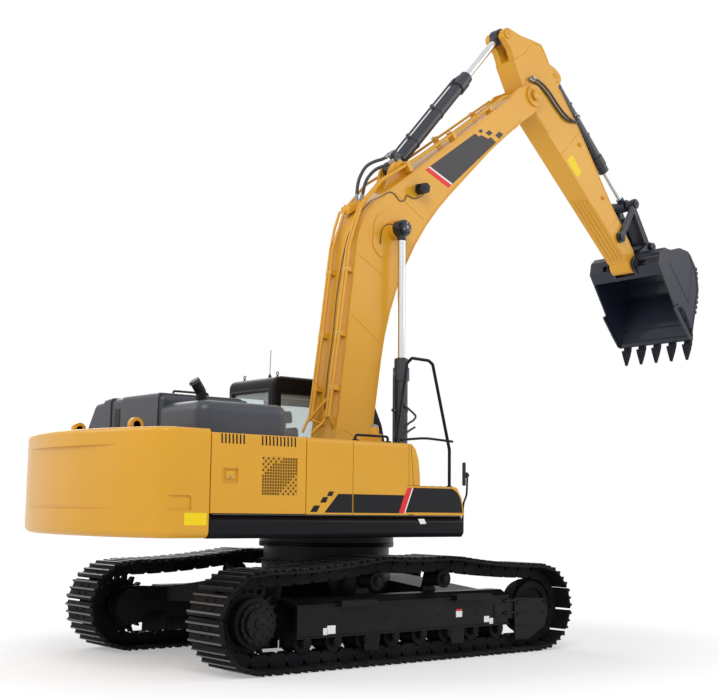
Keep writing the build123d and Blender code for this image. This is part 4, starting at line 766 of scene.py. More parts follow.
def make_undercarriage():
    """Bolts, caps, guards and step treads of the track frames; bolts and seal of the slewing ring."""
    cover, cap = -1.510, -1.540
    drive = [hexes(ring_of(14, 0.182, SPROCKET, cover), RIGHT, 0.013, 0.012),
             hexes(ring_of(8, 0.125, SPROCKET, cap, 20), RIGHT, 0.011, 0.010),
             turned([(0.0, 0.060), (0.012, 0.058), (0.016, 0.050)], (SPROCKET[0], cap, SPROCKET[1]), RIGHT),
             hexes([(SPROCKET[0] + 0.03, cap - 0.015, SPROCKET[1]),
                    (SPROCKET[0] - 0.05, cap, SPROCKET[1] - 0.09)], RIGHT, 0.016, 0.012)]
    both(drive, "drive_bolts", *FRAME)
    rollers = []
    for x in ROLLER_XS:
        for y, way in ((-1.476, RIGHT), (-1.114, LEFT)):
            rollers.append(turned([(0.0, 0.044), (0.010, 0.042), (0.013, 0.034), (0.006, 0.030),
                                   (0.006, 0.014)], (x, y, ROLLER_HEIGHT), way, 20))
            rollers.append(hexes([(x, y + way[1] * 0.006, ROLLER_HEIGHT)], way, 0.012, 0.010))
    for x in CARRIER_XS:
        rollers.append(turned([(0.0, 0.040), (0.012, 0.038), (0.016, 0.030)],
                              (x, -1.439, CARRIER_HEIGHT), RIGHT, 24))
        rollers.append(hexes(ring_of(3, 0.022, (x, CARRIER_HEIGHT), -1.455, 30), RIGHT, 0.007, 0.007))
    both(rollers, "roller_caps", *FRAME)
    # inner guard beside the rollers in bolted lengths, then the plates that close it at both ends
    guards = [brick((low, -1.118, base), (high, -1.104, top), 0.003) for low, high, base, top in (
        (-1.47, -0.51, 0.196, 0.33), (-0.49, 0.49, 0.196, 0.33), (0.51, 1.49, 0.196, 0.33),
        (-1.80, -1.49, 0.200, 0.40), (1.50, 1.80, 0.200, 0.48))]
    # bars between the side plate and the shield round the idler
    for z in (0.585, 0.445):
        guards.append(rod((1.46, -1.478, z), (1.70, -1.478, z), 0.014, 16))
        guards.append(brick((1.50, -1.492, z - 0.02), (1.54, -1.470, z + 0.02), 0.003))
    guards.append(hexes([(x, RIGHT_FACE, z) for x in (1.69, 2.12) for z in (0.55, 0.43)],
                        RIGHT, 0.014, 0.012))
    guards.append(turned([(0.0, 0.052), (0.004, 0.050), (0.004, 0.034), (0.001, 0.032)],
                         (IDLER[0], RIGHT_FACE, IDLER[1]), RIGHT, 28))
    # pressed ridges along the shield
    for z in (0.585, 0.445, 0.300):
        guards.append(brick((1.66, -1.4945, z - 0.009), (2.17, -1.488, z + 0.009), 0.003))
    both(guards, "frame_guards", *FRAME)
    # cleaning holes, bolted cover and step treads on the side plate
    plates = [turned([(0.0, 0.036), (0.004, 0.036), (0.004, 0.026), (0.001, 0.024)], (x, FRAME_FACE, 0.47),
                     RIGHT, 24) for x in (-1.05, -0.30, 0.46, 1.05)]
    plates.append(brick((1.30, -1.478, 0.40), (1.42, -1.469, 0.56), 0.004))
    plates.append(hexes([(x, -1.478, z) for z in (0.415, 0.545) for x in (1.315, 1.405)],
                        RIGHT, 0.008, 0.007))
    for low, high in ((-1.005, -0.520), (0.640, 1.195)):
        for k in range(5):
            plates.append(brick((low + 0.01, -1.545 + 0.022 * k, 0.6775),
                                (high - 0.01, -1.536 + 0.022 * k, 0.6835), 0.002, 1))
    both(plates, "side_plate_fittings", *FRAME)
    both(hexes(ring_of(6, 0.070, IDLER, -1.461), RIGHT, 0.012, 0.010), "idler_bolts", "undercarriage",
         "track_steel", track_black)
    # bolts below the slewing ring and the seal round it
    turns = [math.tau * i / 36 for i in range(36)]
    ring = hexes([(0.765 * math.cos(t), 0.765 * math.sin(t), 1.030) for t in turns], (0, 0, -1), 0.017, 0.016)
    fit(ring, "slew_ring_bolts_low", *FRAME)
    seal = turned([(1.190, 0.792), (1.202, 0.797), (1.214, 0.792), (1.226, 0.797), (1.238, 0.792)],
                  (0, 0, 0), UP, 64)
    fit(seal, "slew_ring_seal", "upper", "black_paint", frame_black)


def on_right(corners, name, paint, slot="black_paint", lift=FILM_LIFT, thick=FILM_THICK):
    """Thin film on the right-hand side face, from (x, z) corners."""
    return fit(flat(corners, RIGHT_FACE - lift, -thick, 0), name, "upper", slot, paint)


def make_livery():
    """Black band with its slanted blocks and stripes along the right side, and the blank labels."""
    on_right([(-1.026, 1.774), (-1.208, 1.579), (-0.838, 1.579), (-0.838, 1.774)], "band_rear", film_black)
    on_right([(-0.822, 1.774), (-0.822, 1.579), (-0.184, 1.579), (-0.106, 1.774)], "band_front", film_black)
    blocks = [[(-1.176, 1.749), (-1.150, 1.796), (-1.084, 1.797), (-1.110, 1.750)],
              [(-1.266, 1.681), (-1.228, 1.738), (-1.162, 1.739), (-1.187, 1.682)],
              [(-1.393, 1.584), (-1.343, 1.650), (-1.265, 1.651), (-1.303, 1.584)]]
    films = [flat(block, RIGHT_FACE - FILM_LIFT, -FILM_THICK, 0) for block in blocks]
    fit(films, "band_blocks", "upper", "black_paint", film_black)
    on_right([(-0.054, 1.856), (0.010, 1.856), (-0.108, 1.580), (-0.180, 1.580), (-0.132, 1.722)],
             "band_stripe_red", film_red)
    on_right([(0.011, 1.856), (0.027, 1.856), (-0.091, 1.580), (-0.107, 1.580)],
             "band_stripe_white", film_white)
    on_right([(0.029, 1.858), (-0.085, 1.590), (0.782, 1.590), (0.768, 1.680), (0.742, 1.760), (0.700, 1.815),
              (0.640, 1.850), (0.600, 1.858)], "toolbox_panel", film_black)
    # front end of the tank cover, the strip that closes the gap below it, and its seam
    nose = flat([(-0.030, 1.880), (0.136, 1.880), (0.132, 1.999), (0.111, 2.163), (0.065, 2.283),
                 (0.012, 2.332), (-0.030, 2.340)], -1.489, 0.55, 0.012, 3)
    strip = brick((-0.048, -1.4885, 1.566), (0.041, -1.455, 1.879), 0.002, 1)
    fit([nose, strip], "tank_nose", "upper", *YELLOW)
    on_right([(-0.012, 2.334), (-0.007, 2.334), (0.033, 1.882), (0.028, 1.882)], "tank_seam", film_black,
             lift=-0.0008, thick=0.0006)
    on_right([(-2.884, 1.565), (-2.884, 1.448), (-2.636, 1.448), (-2.636, 1.565)], "counterweight_label",
             film_yellow, "yellow_paint")
    skirt = flat([(0.100, 1.520), (0.190, 1.520), (0.222, 1.468), (0.132, 1.464)], -1.4906, -0.0012, 0)
    fit(skirt, "skirt_label", "upper", "black_paint", film_white)
    # pale grey strip along the upper bevel of the skirt: a painted highlight of the light reflected there
    edge = brick((-2.575, -1.4916, 1.5485), (0.790, -1.4902, 1.5565), 0)
    fit(edge, "skirt_edge_highlight", "upper", "black_paint", painted_highlight_grey)
    whites = [brick((low, FRAME_FACE - 0.0014, base), (high, FRAME_FACE, top), 0) for low, high, base,
              top in ((-1.183, -1.126, 0.341, 0.410), (-1.130, -1.022, 0.347, 0.432),
                      (1.146, 1.228, 0.358, 0.425), (1.232, 1.293, 0.334, 0.400),
                      (0.702, 0.796, 0.434, 0.500))]
    fit(whites, "frame_labels", "undercarriage", "black_paint", film_white)
    head = brick((0.702, FRAME_FACE - 0.0014, 0.502), (0.796, FRAME_FACE, 0.522), 0)
    fit(head, "frame_label_head", "undercarriage", "black_paint", film_red)


def pierced_bars(low_x, high_x, low_z, high_z, columns, rows):
    """Net of bars over an opening, with every other mesh closed near two of its corners."""
    step_x, step_z = (high_x - low_x) / columns, (high_z - low_z) / rows
    bars = []
    for i in range(columns + 1):
        x = low_x + i * step_x
        bars.append(brick((x - 0.0045, -1.4875, low_z), (x + 0.0045, -1.4815, high_z), 0))
    for k in range(rows + 1):
        z = low_z + k * step_z
        bars.append(brick((low_x, -1.4875, z - 0.0045), (high_x, -1.4815, z + 0.0045), 0))
    for i in range(columns):
        for k in range(rows):
            across, up = (i + 0.5) / columns, (k + 0.5) / rows
            if (i + k) % 2 and abs(up - across) > 0.42:
                x, z = low_x + i * step_x, low_z + k * step_z
                bars.append(brick((x, -1.4873, z), (x + step_x, -1.4816, z + step_z), 0))
    return bars


def make_doors():
    """Louvres as black slots of painted shade, screen over a black film of painted shade, and latch of the
    pump door, catches and backings on the left doors.
    """
    backing = [brick((-2.500, -1.4545, 2.232), (-2.195, -1.452, 2.328), 0),
               brick((-2.020, -1.4545, 2.228), (-1.552, -1.452, 2.328), 0)]
    fit(backing, "louvre_backing", "pump_door", *BLACK_TRIM)
    # black film slots on the door face: painted shade standing in for the dark space behind the louvre
    # openings
    slots = []
    for start, count, pitch in ((-2.490, 7, 0.043), (-2.010, 10, 0.045)):
        for i in range(count):
            x = start + i * pitch
            slots.append(flat([(x + 0.002, 2.240), (x + 0.019, 2.240), (x + 0.014, 2.332),
                               (x - 0.003, 2.332)], -1.4902, -0.0012, 0))
    fit(slots, "louvre_slot_shade", "pump_door", "black_paint", film_black)
    low_x, high_x, low_z, high_z = -2.000, -1.560, 1.745, 2.125
    # black film just behind the bars: painted shade standing in for the dark space seen through the screen's
    # holes
    screen = brick((low_x, -1.4812, low_z), (high_x, -1.4802, high_z), 0)
    fit(screen, "screen_shade_film", "pump_door", "black_paint", film_black)
    fit(pierced_bars(low_x, high_x, low_z, high_z, 14, 13), "pierced_screen", "pump_door", *YELLOW)
    handle = [sheet(frame_ring(-2.466, -2.279, 1.860, 2.008, 0.010, -1.4905), (0, -0.006, 0), 0.002, 1),
              brick((-2.425, -1.488, 1.895), (-2.325, -1.4765, 1.975), 0.006),
              brick((-2.415, -1.490, 1.930), (-2.335, -1.486, 1.972), 0.005)]
    fit(handle, "pump_latch", "pump_door", *YELLOW)
    lock = turned([(0.0, 0.013), (0.004, 0.013), (0.006, 0.010)], (-2.375, -1.488, 1.915), RIGHT, 20)
    fit(lock, "pump_latch_lock", "pump_door", *STEEL)
    for name, low, high in (("left_rear_door", -1.70, -1.59), ("left_front_door", -0.68, -0.57)):
        catch = [brick((low, 1.4902, 1.89), (high, 1.496, 2.01), 0.004),
                 brick((low + 0.02, 1.495, 1.92), (high - 0.02, 1.503, 1.98), 0.004)]
        fit(catch, name + "_catch", name, *BLACK_TRIM)
    for name, low, high, base, top in (("left_rear_door", -2.46, -1.70, 1.890, 2.190),
                                       ("left_front_door", -1.42, -1.06, 2.110, 2.270)):
        fit(brick((low, 1.452, base), (high, 1.4545, top), 0), name + "_backing", name, *BLACK_TRIM)


def make_tank_tops():
    """Treads on the toolbox and the tanks, filler, hatch, and the handrails' feet."""
    treads = []
    for k in range(5):
        y = -1.44 + 0.13 * k
        treads.append(brick((0.10, y, 1.877), (0.64, y + 0.075, 1.882), 0.002, 1))
    for x in (-1.38, -1.18, -0.98):
        for k in range(4):
            treads.append(brick((x, -1.36 + 0.16 * k, 2.345), (x + 0.13, -1.28 + 0.16 * k, 2.350), 0.002, 1))
    fit(treads, "step_treads", "upper", *BLACK_TRIM)
    studs = hexes([(x, y, 1.882) for x in (0.16, 0.28, 0.40, 0.52)
                   for y in (-1.40, -1.27, -1.14, -1.01, -0.88)], UP, 0.010, 0.004, washer=False)
    fit(studs, "tread_studs", "upper", *STEEL)
    neck = turned([(0.0, 0.060), (0.014, 0.060), (0.016, 0.052), (0.078, 0.050), (0.082, 0.044)],
                  (-0.29, -1.19, 2.436), UP, 28)
    fit(neck, "filler_neck", "upper", *YELLOW)
    filler = [turned([(0.0, 0.047), (0.016, 0.047), (0.020, 0.040), (0.034, 0.014)], (-0.29, -1.19, 2.518),
                     UP, 28), tube([(-0.29, -1.145, 2.525), (-0.27, -1.125, 2.49), (-0.270, -1.122, 2.45)],
                                   0.003, 0.01, 2, 3)]
    fit(filler, "filler_cap", "upper", *STEEL)
    guard = sheet(frame_ring(-0.396, -0.244, 2.348, 2.436, 0.012, -1.2602), (0, -0.004, 0), 0.001, 1)
    fit(guard, "filler_frame", "upper", *YELLOW)
    hatch = [brick((-1.16, -0.98, 2.345), (-0.94, -0.70, 2.356), 0.004),
             hexes([(x, y, 2.356) for x in (-1.145, -0.955) for y in (-0.965, -0.84, -0.715)],
                   UP, 0.009, 0.007)]
    fit(hatch, "tank_hatch", "upper", *YELLOW)
    feet = []
    for x, z in ((-0.168, 2.345), (-0.750, 2.345), (-0.290, 2.345), (0.640, 1.877)):
        feet.append(turned([(0.0, 0.040), (0.008, 0.040), (0.010, 0.036)], (x, -1.420, z), UP, 24))
        feet.append(hexes([(x + a, -1.420, z + 0.009) for a in (-0.028, 0.028)],
                          UP, 0.006, 0.005, washer=False))
    # rail across the tall handrail
    feet.append(tube([(-0.100, -1.420, 2.380), (0.263, -1.420, 2.416), (0.690, -1.420, 2.395)],
                     0.014, 0.1, 4, 5))
    fit(feet, "handrail_feet", "upper", "black_paint", black)


def make_mirror():
    """Right mirror on its stalk, turned to the driver."""
    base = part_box("right_mirror")[0].z + 0.002
    across, back = Vector((0.70, 0.713, 0)), Vector((0.713, -0.70, 0))
    middle = Vector((0.905, -1.360, 2.030))
    corners = [middle + across * a + Vector((0, 0, b))
               for a, b in ((-0.088, -0.130), (0.088, -0.130), (0.088, 0.135), (-0.088, 0.135))]
    shell = [sheet(corners, back * 0.040, 0.014, 4), tube([(0.921, -1.350, base), (0.930, -1.350, 1.700),
                                                           (0.975, -1.362, 1.790), (0.968, -1.378, 2.010),
                                                           (0.944, -1.388, 2.026)], 0.012, 0.06, 4, 6),
             turned([(0.0, 0.026), (0.010, 0.030), (0.036, 0.030), (0.044, 0.022)], (0.924, -1.390, 2.010),
                    (0.713, -0.10, 0.5), 20)]
    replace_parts(fit(shell, "mirror_housing", "upper", *CAB_TRIM), "right_mirror")
    face = sheet([c * 0.90 + middle * 0.10 - back * 0.0005 for c in corners], back * -0.003, 0)
    fit(face, "mirror_face", "upper", "chrome_rod", chrome)


def make_deck_details():
    """Hoses under the boom foot, pin caps, exhaust lip, rims of the lifting eyes."""
    runs = [[(-0.35, -0.20, 2.245), (-0.25, -0.22, 2.33), (-0.10, -0.24, 2.30), (0.02, -0.27, 2.16)],
            [(-0.35, -0.12, 2.245), (-0.28, -0.12, 2.36), (-0.16, -0.13, 2.36), (-0.06, -0.14, 2.26)],
            [(-0.35, 0.12, 2.245), (-0.28, 0.12, 2.37), (-0.16, 0.13, 2.37), (-0.06, 0.14, 2.27)],
            [(-0.35, 0.20, 2.245), (-0.25, 0.22, 2.33), (-0.10, 0.24, 2.31), (0.02, 0.27, 2.17)]]
    fit([tube(run, 0.020, 0.08, 5, 6) for run in runs], "deck_hoses", "upper", *HOSE)
    unions = [turned([(0.0, 0.030), (0.012, 0.030), (0.013, 0.025), (0.05, 0.025)], run[0], UP, 6)
              for run in runs]
    fit(unions, "deck_unions", "upper", *STEEL)
    caps = []
    for y, way in ((-0.381, RIGHT), (0.381, LEFT)):
        caps.append(turned([(0.0, 0.082), (0.012, 0.080), (0.018, 0.070)], (boom.x, y, boom.z), way, 36))
        caps.append(hexes(ring_of(4, 0.052, (boom.x, boom.z), y + way[1] * 0.018, 45), way, 0.012, 0.010))
    fit(caps, "boom_foot_caps", "upper", *YELLOW)
    mouth, way = Vector((-2.450, -0.880, 2.900)), Vector((-0.6, 0, 0.8))
    exhaust = turned([(0.0, 0.058), (0.012, 0.058), (0.012, 0.048), (-0.070, 0.046)],
                     mouth - way * 0.030, way)
    fit(exhaust, "exhaust_lip", "upper", "pin_steel", engine_iron)
    rims = [turned([(0.0, 0.058), (0.005, 0.056), (0.005, 0.042), (0.0, 0.040)],
                   (-2.945, y + side * 0.030, 2.430), (0, side, 0), 28) for y in (-0.615, 0.615)
            for side in (-1, 1)]
    fit(rims, "lifting_eye_rims", "upper", *YELLOW)
    fit(hexes([(-3.05, y, 2.375) for y in (-0.25, 0.25)], UP, 0.045, 0.022),
        "counterweight_bolts", "upper", *YELLOW)


def arc_line(corners, most=6):
    """Points of an open line of (a, b, radius) corners, with each corner that has a radius as an arc."""
    out = [corners[0][:2]]
    for before, here, after in zip(corners, corners[1:], corners[2:]):
        if len(here) < 3:
            out.append(here)
            continue
        p = Vector(here[:2])
        u, v = (Vector(end[:2]) - p for end in (before, after))
        u.normalize()
        v.normalize()
        half = u.angle(v) / 2
        radius = here[2]
        heart = p + (u + v).normalized() * (radius / math.sin(half))
        start = p + u * (radius / math.tan(half)) - heart
        end = p + v * (radius / math.tan(half)) - heart
        steps = max(2, min(most, int(start.angle(end) / 0.1) + 2))
        for k in range(steps + 1):
            spot = start.lerp(end, k / steps).normalized() * radius + heart
            out.append((spot.x, spot.y))
    return out + [corners[-1][:2]]


def lip_along(link, line, wide, low, high):
    """Raised strip along a line in a link's frame, its inner edge wide inside the line."""
    inner = []
    for i, (a, b) in enumerate(line):
        p, q = line[max(i - 1, 0)], line[min(i + 1, len(line) - 1)]
        length = math.dist(p, q) or 1
        inner.append((a + (q[1] - p[1]) / length * wide, b - (q[0] - p[0]) / length * wide))
    return link.plate(line + inner[::-1], low, high - low, 0.0015, 1)


def bead(link, points, y, radius=0.005):
    """Weld bead along a line on a plate."""
    return tube(link.line(points, y), radius, 0.02, 2, 3)


def film(link, corners, y, name, body, slot, paint):
    """Thin film on a link's side plate."""
    return fit(link.plate(corners, y, math.copysign(FILM_THICK, y), 0), name, body, slot, paint)


def strap(link, along, above, turn, low, high):
    """Clamp plate over two pipes with a bolt between them."""
    foot = link.at(along, above)
    base = Link(foot.x, foot.z, math.degrees(math.atan2(link.s, link.c)) + turn)
    half, rise, thick = 0.022, 0.017, 0.010
    plate = sheet([base.at(-half, rise, low), base.at(half, rise, low), base.at(half, rise, high),
                   base.at(-half, rise, high)], base.at(0, rise + thick) - base.at(0, rise), 0.004, 2)
    bolt = hexes([base.at(0, rise + thick, (low + high) / 2)], base.way(0, 1), 0.011, 0.012)
    return joined([plate, bolt])


def make_boom_plates():
    """Flange edges, welds, and the band with its stripes and squares on both sides of the boom."""
    top = [(0.45, 0.190 + 0.540 * (1.502 - 0.190) / 2.801), (2.711, 1.502, 1.0), (5.880, 0.3294)]
    low = [(5.754, -0.022), (5.000, 0.218, 3.0), (2.600, 0.790, 4.0), (0.560, -0.1066)]
    lips = [lip_along(boom, arc_line(line, most), 0.020, 0.2395, 0.2475) for line,
            most in ((top, 12), (low, 14))]
    both(lips, "boom_flange_edges", "boom", *YELLOW)
    welds = [bead(boom, line, -BOOM_HALF) for line in (
        [(3.318, 0.976), (3.338, 0.640)], [(2.253, 1.240), (2.287, 0.760)], [(3.318, 0.976), (3.306, 1.200)],
        [(0.30, 0.02), (0.36, 0.13), (0.34, 0.28), (0.22, 0.34)], [(1.55, 0.36), (1.575, 0.92)])]
    both(welds, "boom_welds", "boom", *YELLOW)
    band = [(4.000, 0.945), (4.955, 0.571), (4.971, 0.496), (5.020, 0.473), (5.069, 0.349), (5.123, 0.324),
            (5.137, 0.209), (4.084, 0.516)]
    pale = [(3.975, 0.955), (4.000, 0.945), (4.084, 0.516), (4.060, 0.523)]
    red = [(3.905, 0.980), (3.972, 0.956), (4.056, 0.524), (3.985, 0.545)]
    squares = [[(5.024, 0.542), (5.082, 0.527), (5.094, 0.478), (5.039, 0.493)],
               [(5.105, 0.428), (5.185, 0.399), (5.200, 0.324), (5.122, 0.355)],
               [(5.209, 0.272), (5.310, 0.243), (5.327, 0.165), (5.223, 0.190)]]
    for side, word in SIDES:
        y = side * (BOOM_HALF + 0.0004)
        for corners, name, paint in ((band, "boom_band_", film_grey), (pale, "boom_stripe_pale_", film_white),
                                     (red, "boom_stripe_red_", film_red)):
            film(boom, corners, y, name + word, "boom", "black_paint", paint)
        pieces = [boom.plate(square, y, side * FILM_THICK, 0) for square in squares]
        fit(pieces, "boom_squares_" + word, "boom", "black_paint", film_grey)


def make_boom_lines():
    """Clamps of the pipes, hoses to the arm cylinder, pipe ends at the foot, harness and grease lines."""
    straps = [strap(boom, along, above, turn, 0.122, 0.208) for along, above, turn in (
        (0.700, 0.627, 24.5), (1.304, 0.903, 24.5), (2.032, 1.238, 24.5), (3.800, 1.227, -22.2),
        (4.700, 0.853, -22.2), (5.500, 0.516, -22.2))]
    both(straps, "pipe_straps", "boom", "yellow_paint", zinc)
    unions, hoses = [], []
    for run in ([(3.040, 1.440, 0.120), (3.276, 1.574, 0.100), (3.483, 1.600, 0.060), (3.609, 1.544, 0.010),
                 (3.683, 1.484, -0.050), (3.790, 1.456, -0.090)],
                [(3.065, 1.396, 0.080), (3.331, 1.502, 0.060), (3.529, 1.482, 0.020), (3.663, 1.400, -0.050),
                 (3.765, 1.376, -0.090)]):
        points = boom.line(run)
        hoses.append(tube(points, 0.021, 0.12, 6, 8))
        for spot, way in ((points[0], points[1] - points[0]), (points[-1], points[-2] - points[-1])):
            unions.append(turned([(-0.030, 0.026), (0.010, 0.026), (0.011, 0.032), (0.040, 0.032),
                                  (0.041, 0.026), (0.090, 0.026)], spot, way, 6))
    fit(hoses, "arm_cylinder_hoses", "boom", *HOSE)
    fit(unions, "hose_unions", "boom", *STEEL)
    bracket = [boom.plate([(2.780, 1.470), (2.860, 1.540), (3.045, 1.450), (2.990, 1.365)], 0.040, 0.165,
                          0.006), hexes([boom.at(2.90, 1.520, y) for y in (0.075, 0.165)], boom.way(0.45, 1),
                                        0.014, 0.012)]
    fit(bracket, "union_bracket", "boom", *YELLOW)
    tails = [[(-0.138, 0.190, 2.712), (-0.167, 0.190, 2.657), (-0.203, 0.190, 2.595), (-0.239, 0.190, 2.522)],
             [(-0.146, 0.120, 2.708), (-0.176, 0.100, 2.676), (-0.153, 0.060, 2.646), (-0.033, 0.000, 2.602),
              (0.034, -0.020, 2.551), (0.050, -0.020, 2.481)],
             [(-0.114, -0.120, 2.716), (-0.135, -0.100, 2.646), (-0.200, -0.060, 2.573),
              (-0.271, -0.020, 2.488)], [(-0.132, -0.190, 2.711), (-0.108, -0.190, 2.643),
                                         (-0.053, -0.180, 2.552), (-0.010, -0.170, 2.460)],
             [(-0.015, -0.100, 3.082), (-0.049, -0.060, 2.939), (-0.113, 0.000, 2.830),
              (-0.170, 0.080, 2.724), (-0.197, 0.120, 2.652)]]
    fit([tube(run, 0.0165, 0.06, 5, 7) for run in tails], "boom_pipe_ends", "boom", *YELLOW)
    # harness down the rear flange and over to the lamp
    down = [(0.50, 0.480, 0.02), (0.90, 0.668, 0.035), (1.30, 0.855, 0.015), (1.75, 1.066, 0.03),
            (2.15, 1.255, 0.0), (2.45, 1.375, -0.03), (2.72, 1.440, -0.09), (2.98, 1.430, -0.20),
            (3.060, 1.385, -0.2475)]
    over = [(3.060, 1.385, -0.2475), (3.112, 1.350, -0.2475), (3.246, 1.290, -0.2475), (3.278, 1.222, -0.247),
            (3.257, 1.084, -0.247), (3.330, 1.030, -0.247), (3.411, 1.057, -0.247), (3.423, 0.975, -0.247),
            (3.470, 0.898, -0.250), (3.578, 0.855, -0.290)]
    harness = [tube(boom.line(run), 0.006, bend, 3, 5) for run, bend in ((down, 0.08), (over, 0.05))]
    fit(harness, "lamp_harness", "boom", *HOSE)
    grease = []
    clip = Vector((0.012, 0.008, 0.012))
    for side in (-1, 1):
        run = [(2.800, 1.030, 0.470), (2.779, 1.120, 0.475), (2.752, 1.190, 0.440), (2.710, 1.200, 0.380),
               (2.675, 1.152, 0.310), (2.591, 1.055, 0.252)]
        grease.append(tube(boom.line([(a, b, side * y) for a, b, y in run]), 0.006, 0.06, 3, 6))
        spot = boom.at(2.591, 1.055, side * 0.246)
        grease.append(brick(spot - clip, spot + clip, 0.003))
    fit(grease, "grease_lines", "boom", *HOSE)


def make_boom_caps():
    """Caps on the boom's pins, with their bolts and grease nipples."""
    caps = []
    for side in (-1, 1):
        way = (0, side, 0)
        caps.append(turned([(0.0, 0.080), (0.010, 0.080), (0.014, 0.072)],
                           (arm_pin.x, side * 0.300, arm_pin.z), way))
        caps.append(hexes(ring_of(3, 0.048, (arm_pin.x, arm_pin.z), side * 0.314, 30), way, 0.012, 0.010))
        caps.append(turned([(0.0, 0.052), (0.004, 0.052), (0.006, 0.046)],
                           (arm_cylinder_foot.x, side * 0.115, arm_cylinder_foot.z), way, 28))
        nipple = boom.at(6.249, 0.125, side * 0.272)
        caps.append(rod(nipple, nipple + Vector((0, side * 0.022, 0)), 0.009, 8, 0.002))
    fit(caps, "boom_pin_caps", "boom", *YELLOW)


def make_lamp():
    """Finned lamp on the boom's side, with its lens and stirrup."""
    low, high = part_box("boom_lamp")
    x, z = 1.200, 5.662
    y0, y1 = low[1], high[1] - 0.040
    outline = ((-0.088, -0.048), (-0.028, -0.080), (0.078, -0.044), (0.092, 0.040), (0.040, 0.078),
               (-0.062, 0.052))
    body = [flat([(x + a, z + b) for a, b in outline], y0, y1 - y0, 0.012, 3)]
    for k in range(4):
        base = z - 0.030 + 0.021 * k
        body.append(brick((x - 0.096, y0 + 0.014, base), (x - 0.070, y1 - 0.014, base + 0.008), 0.002, 1))
    foot = ((-0.016, -0.016), (0.016, -0.016), (0.016, 0.016), (-0.016, 0.016))
    body.append(flat([(x + a, z + b) for a, b in foot], y1 + 0.001, 0.040, 0.003))
    body.append(hexes([(x, y0, z)], RIGHT, 0.012, 0.008))
    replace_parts(fit(body, "work_lamp", "boom", *BLACK_TRIM), "boom_lamp")
    near, far = y0 + 0.014, y1 - 0.014
    lens = sheet([(x + 0.0825, near, z - 0.036), (x + 0.0825, far, z - 0.036), (x + 0.0935, far, z + 0.032),
                  (x + 0.0935, near, z + 0.032)], (0.004, 0, 0), 0.002)
    fit(lens, "work_lamp_lens", "boom", "cab_glass", lamp_glass)


def pin_cap(spot, y, rings, steps, bolt, height):
    """Turned cap on the end of a cross pin, with a bolt in its middle."""
    side = -1 if y < 0 else 1
    centre = Vector((spot.x, y, spot.z))
    return [turned(rings, centre, (0, side, 0), steps),
            hexes([centre + Vector((0, side * rings[-1][0], 0))], (0, side, 0), bolt, height)]


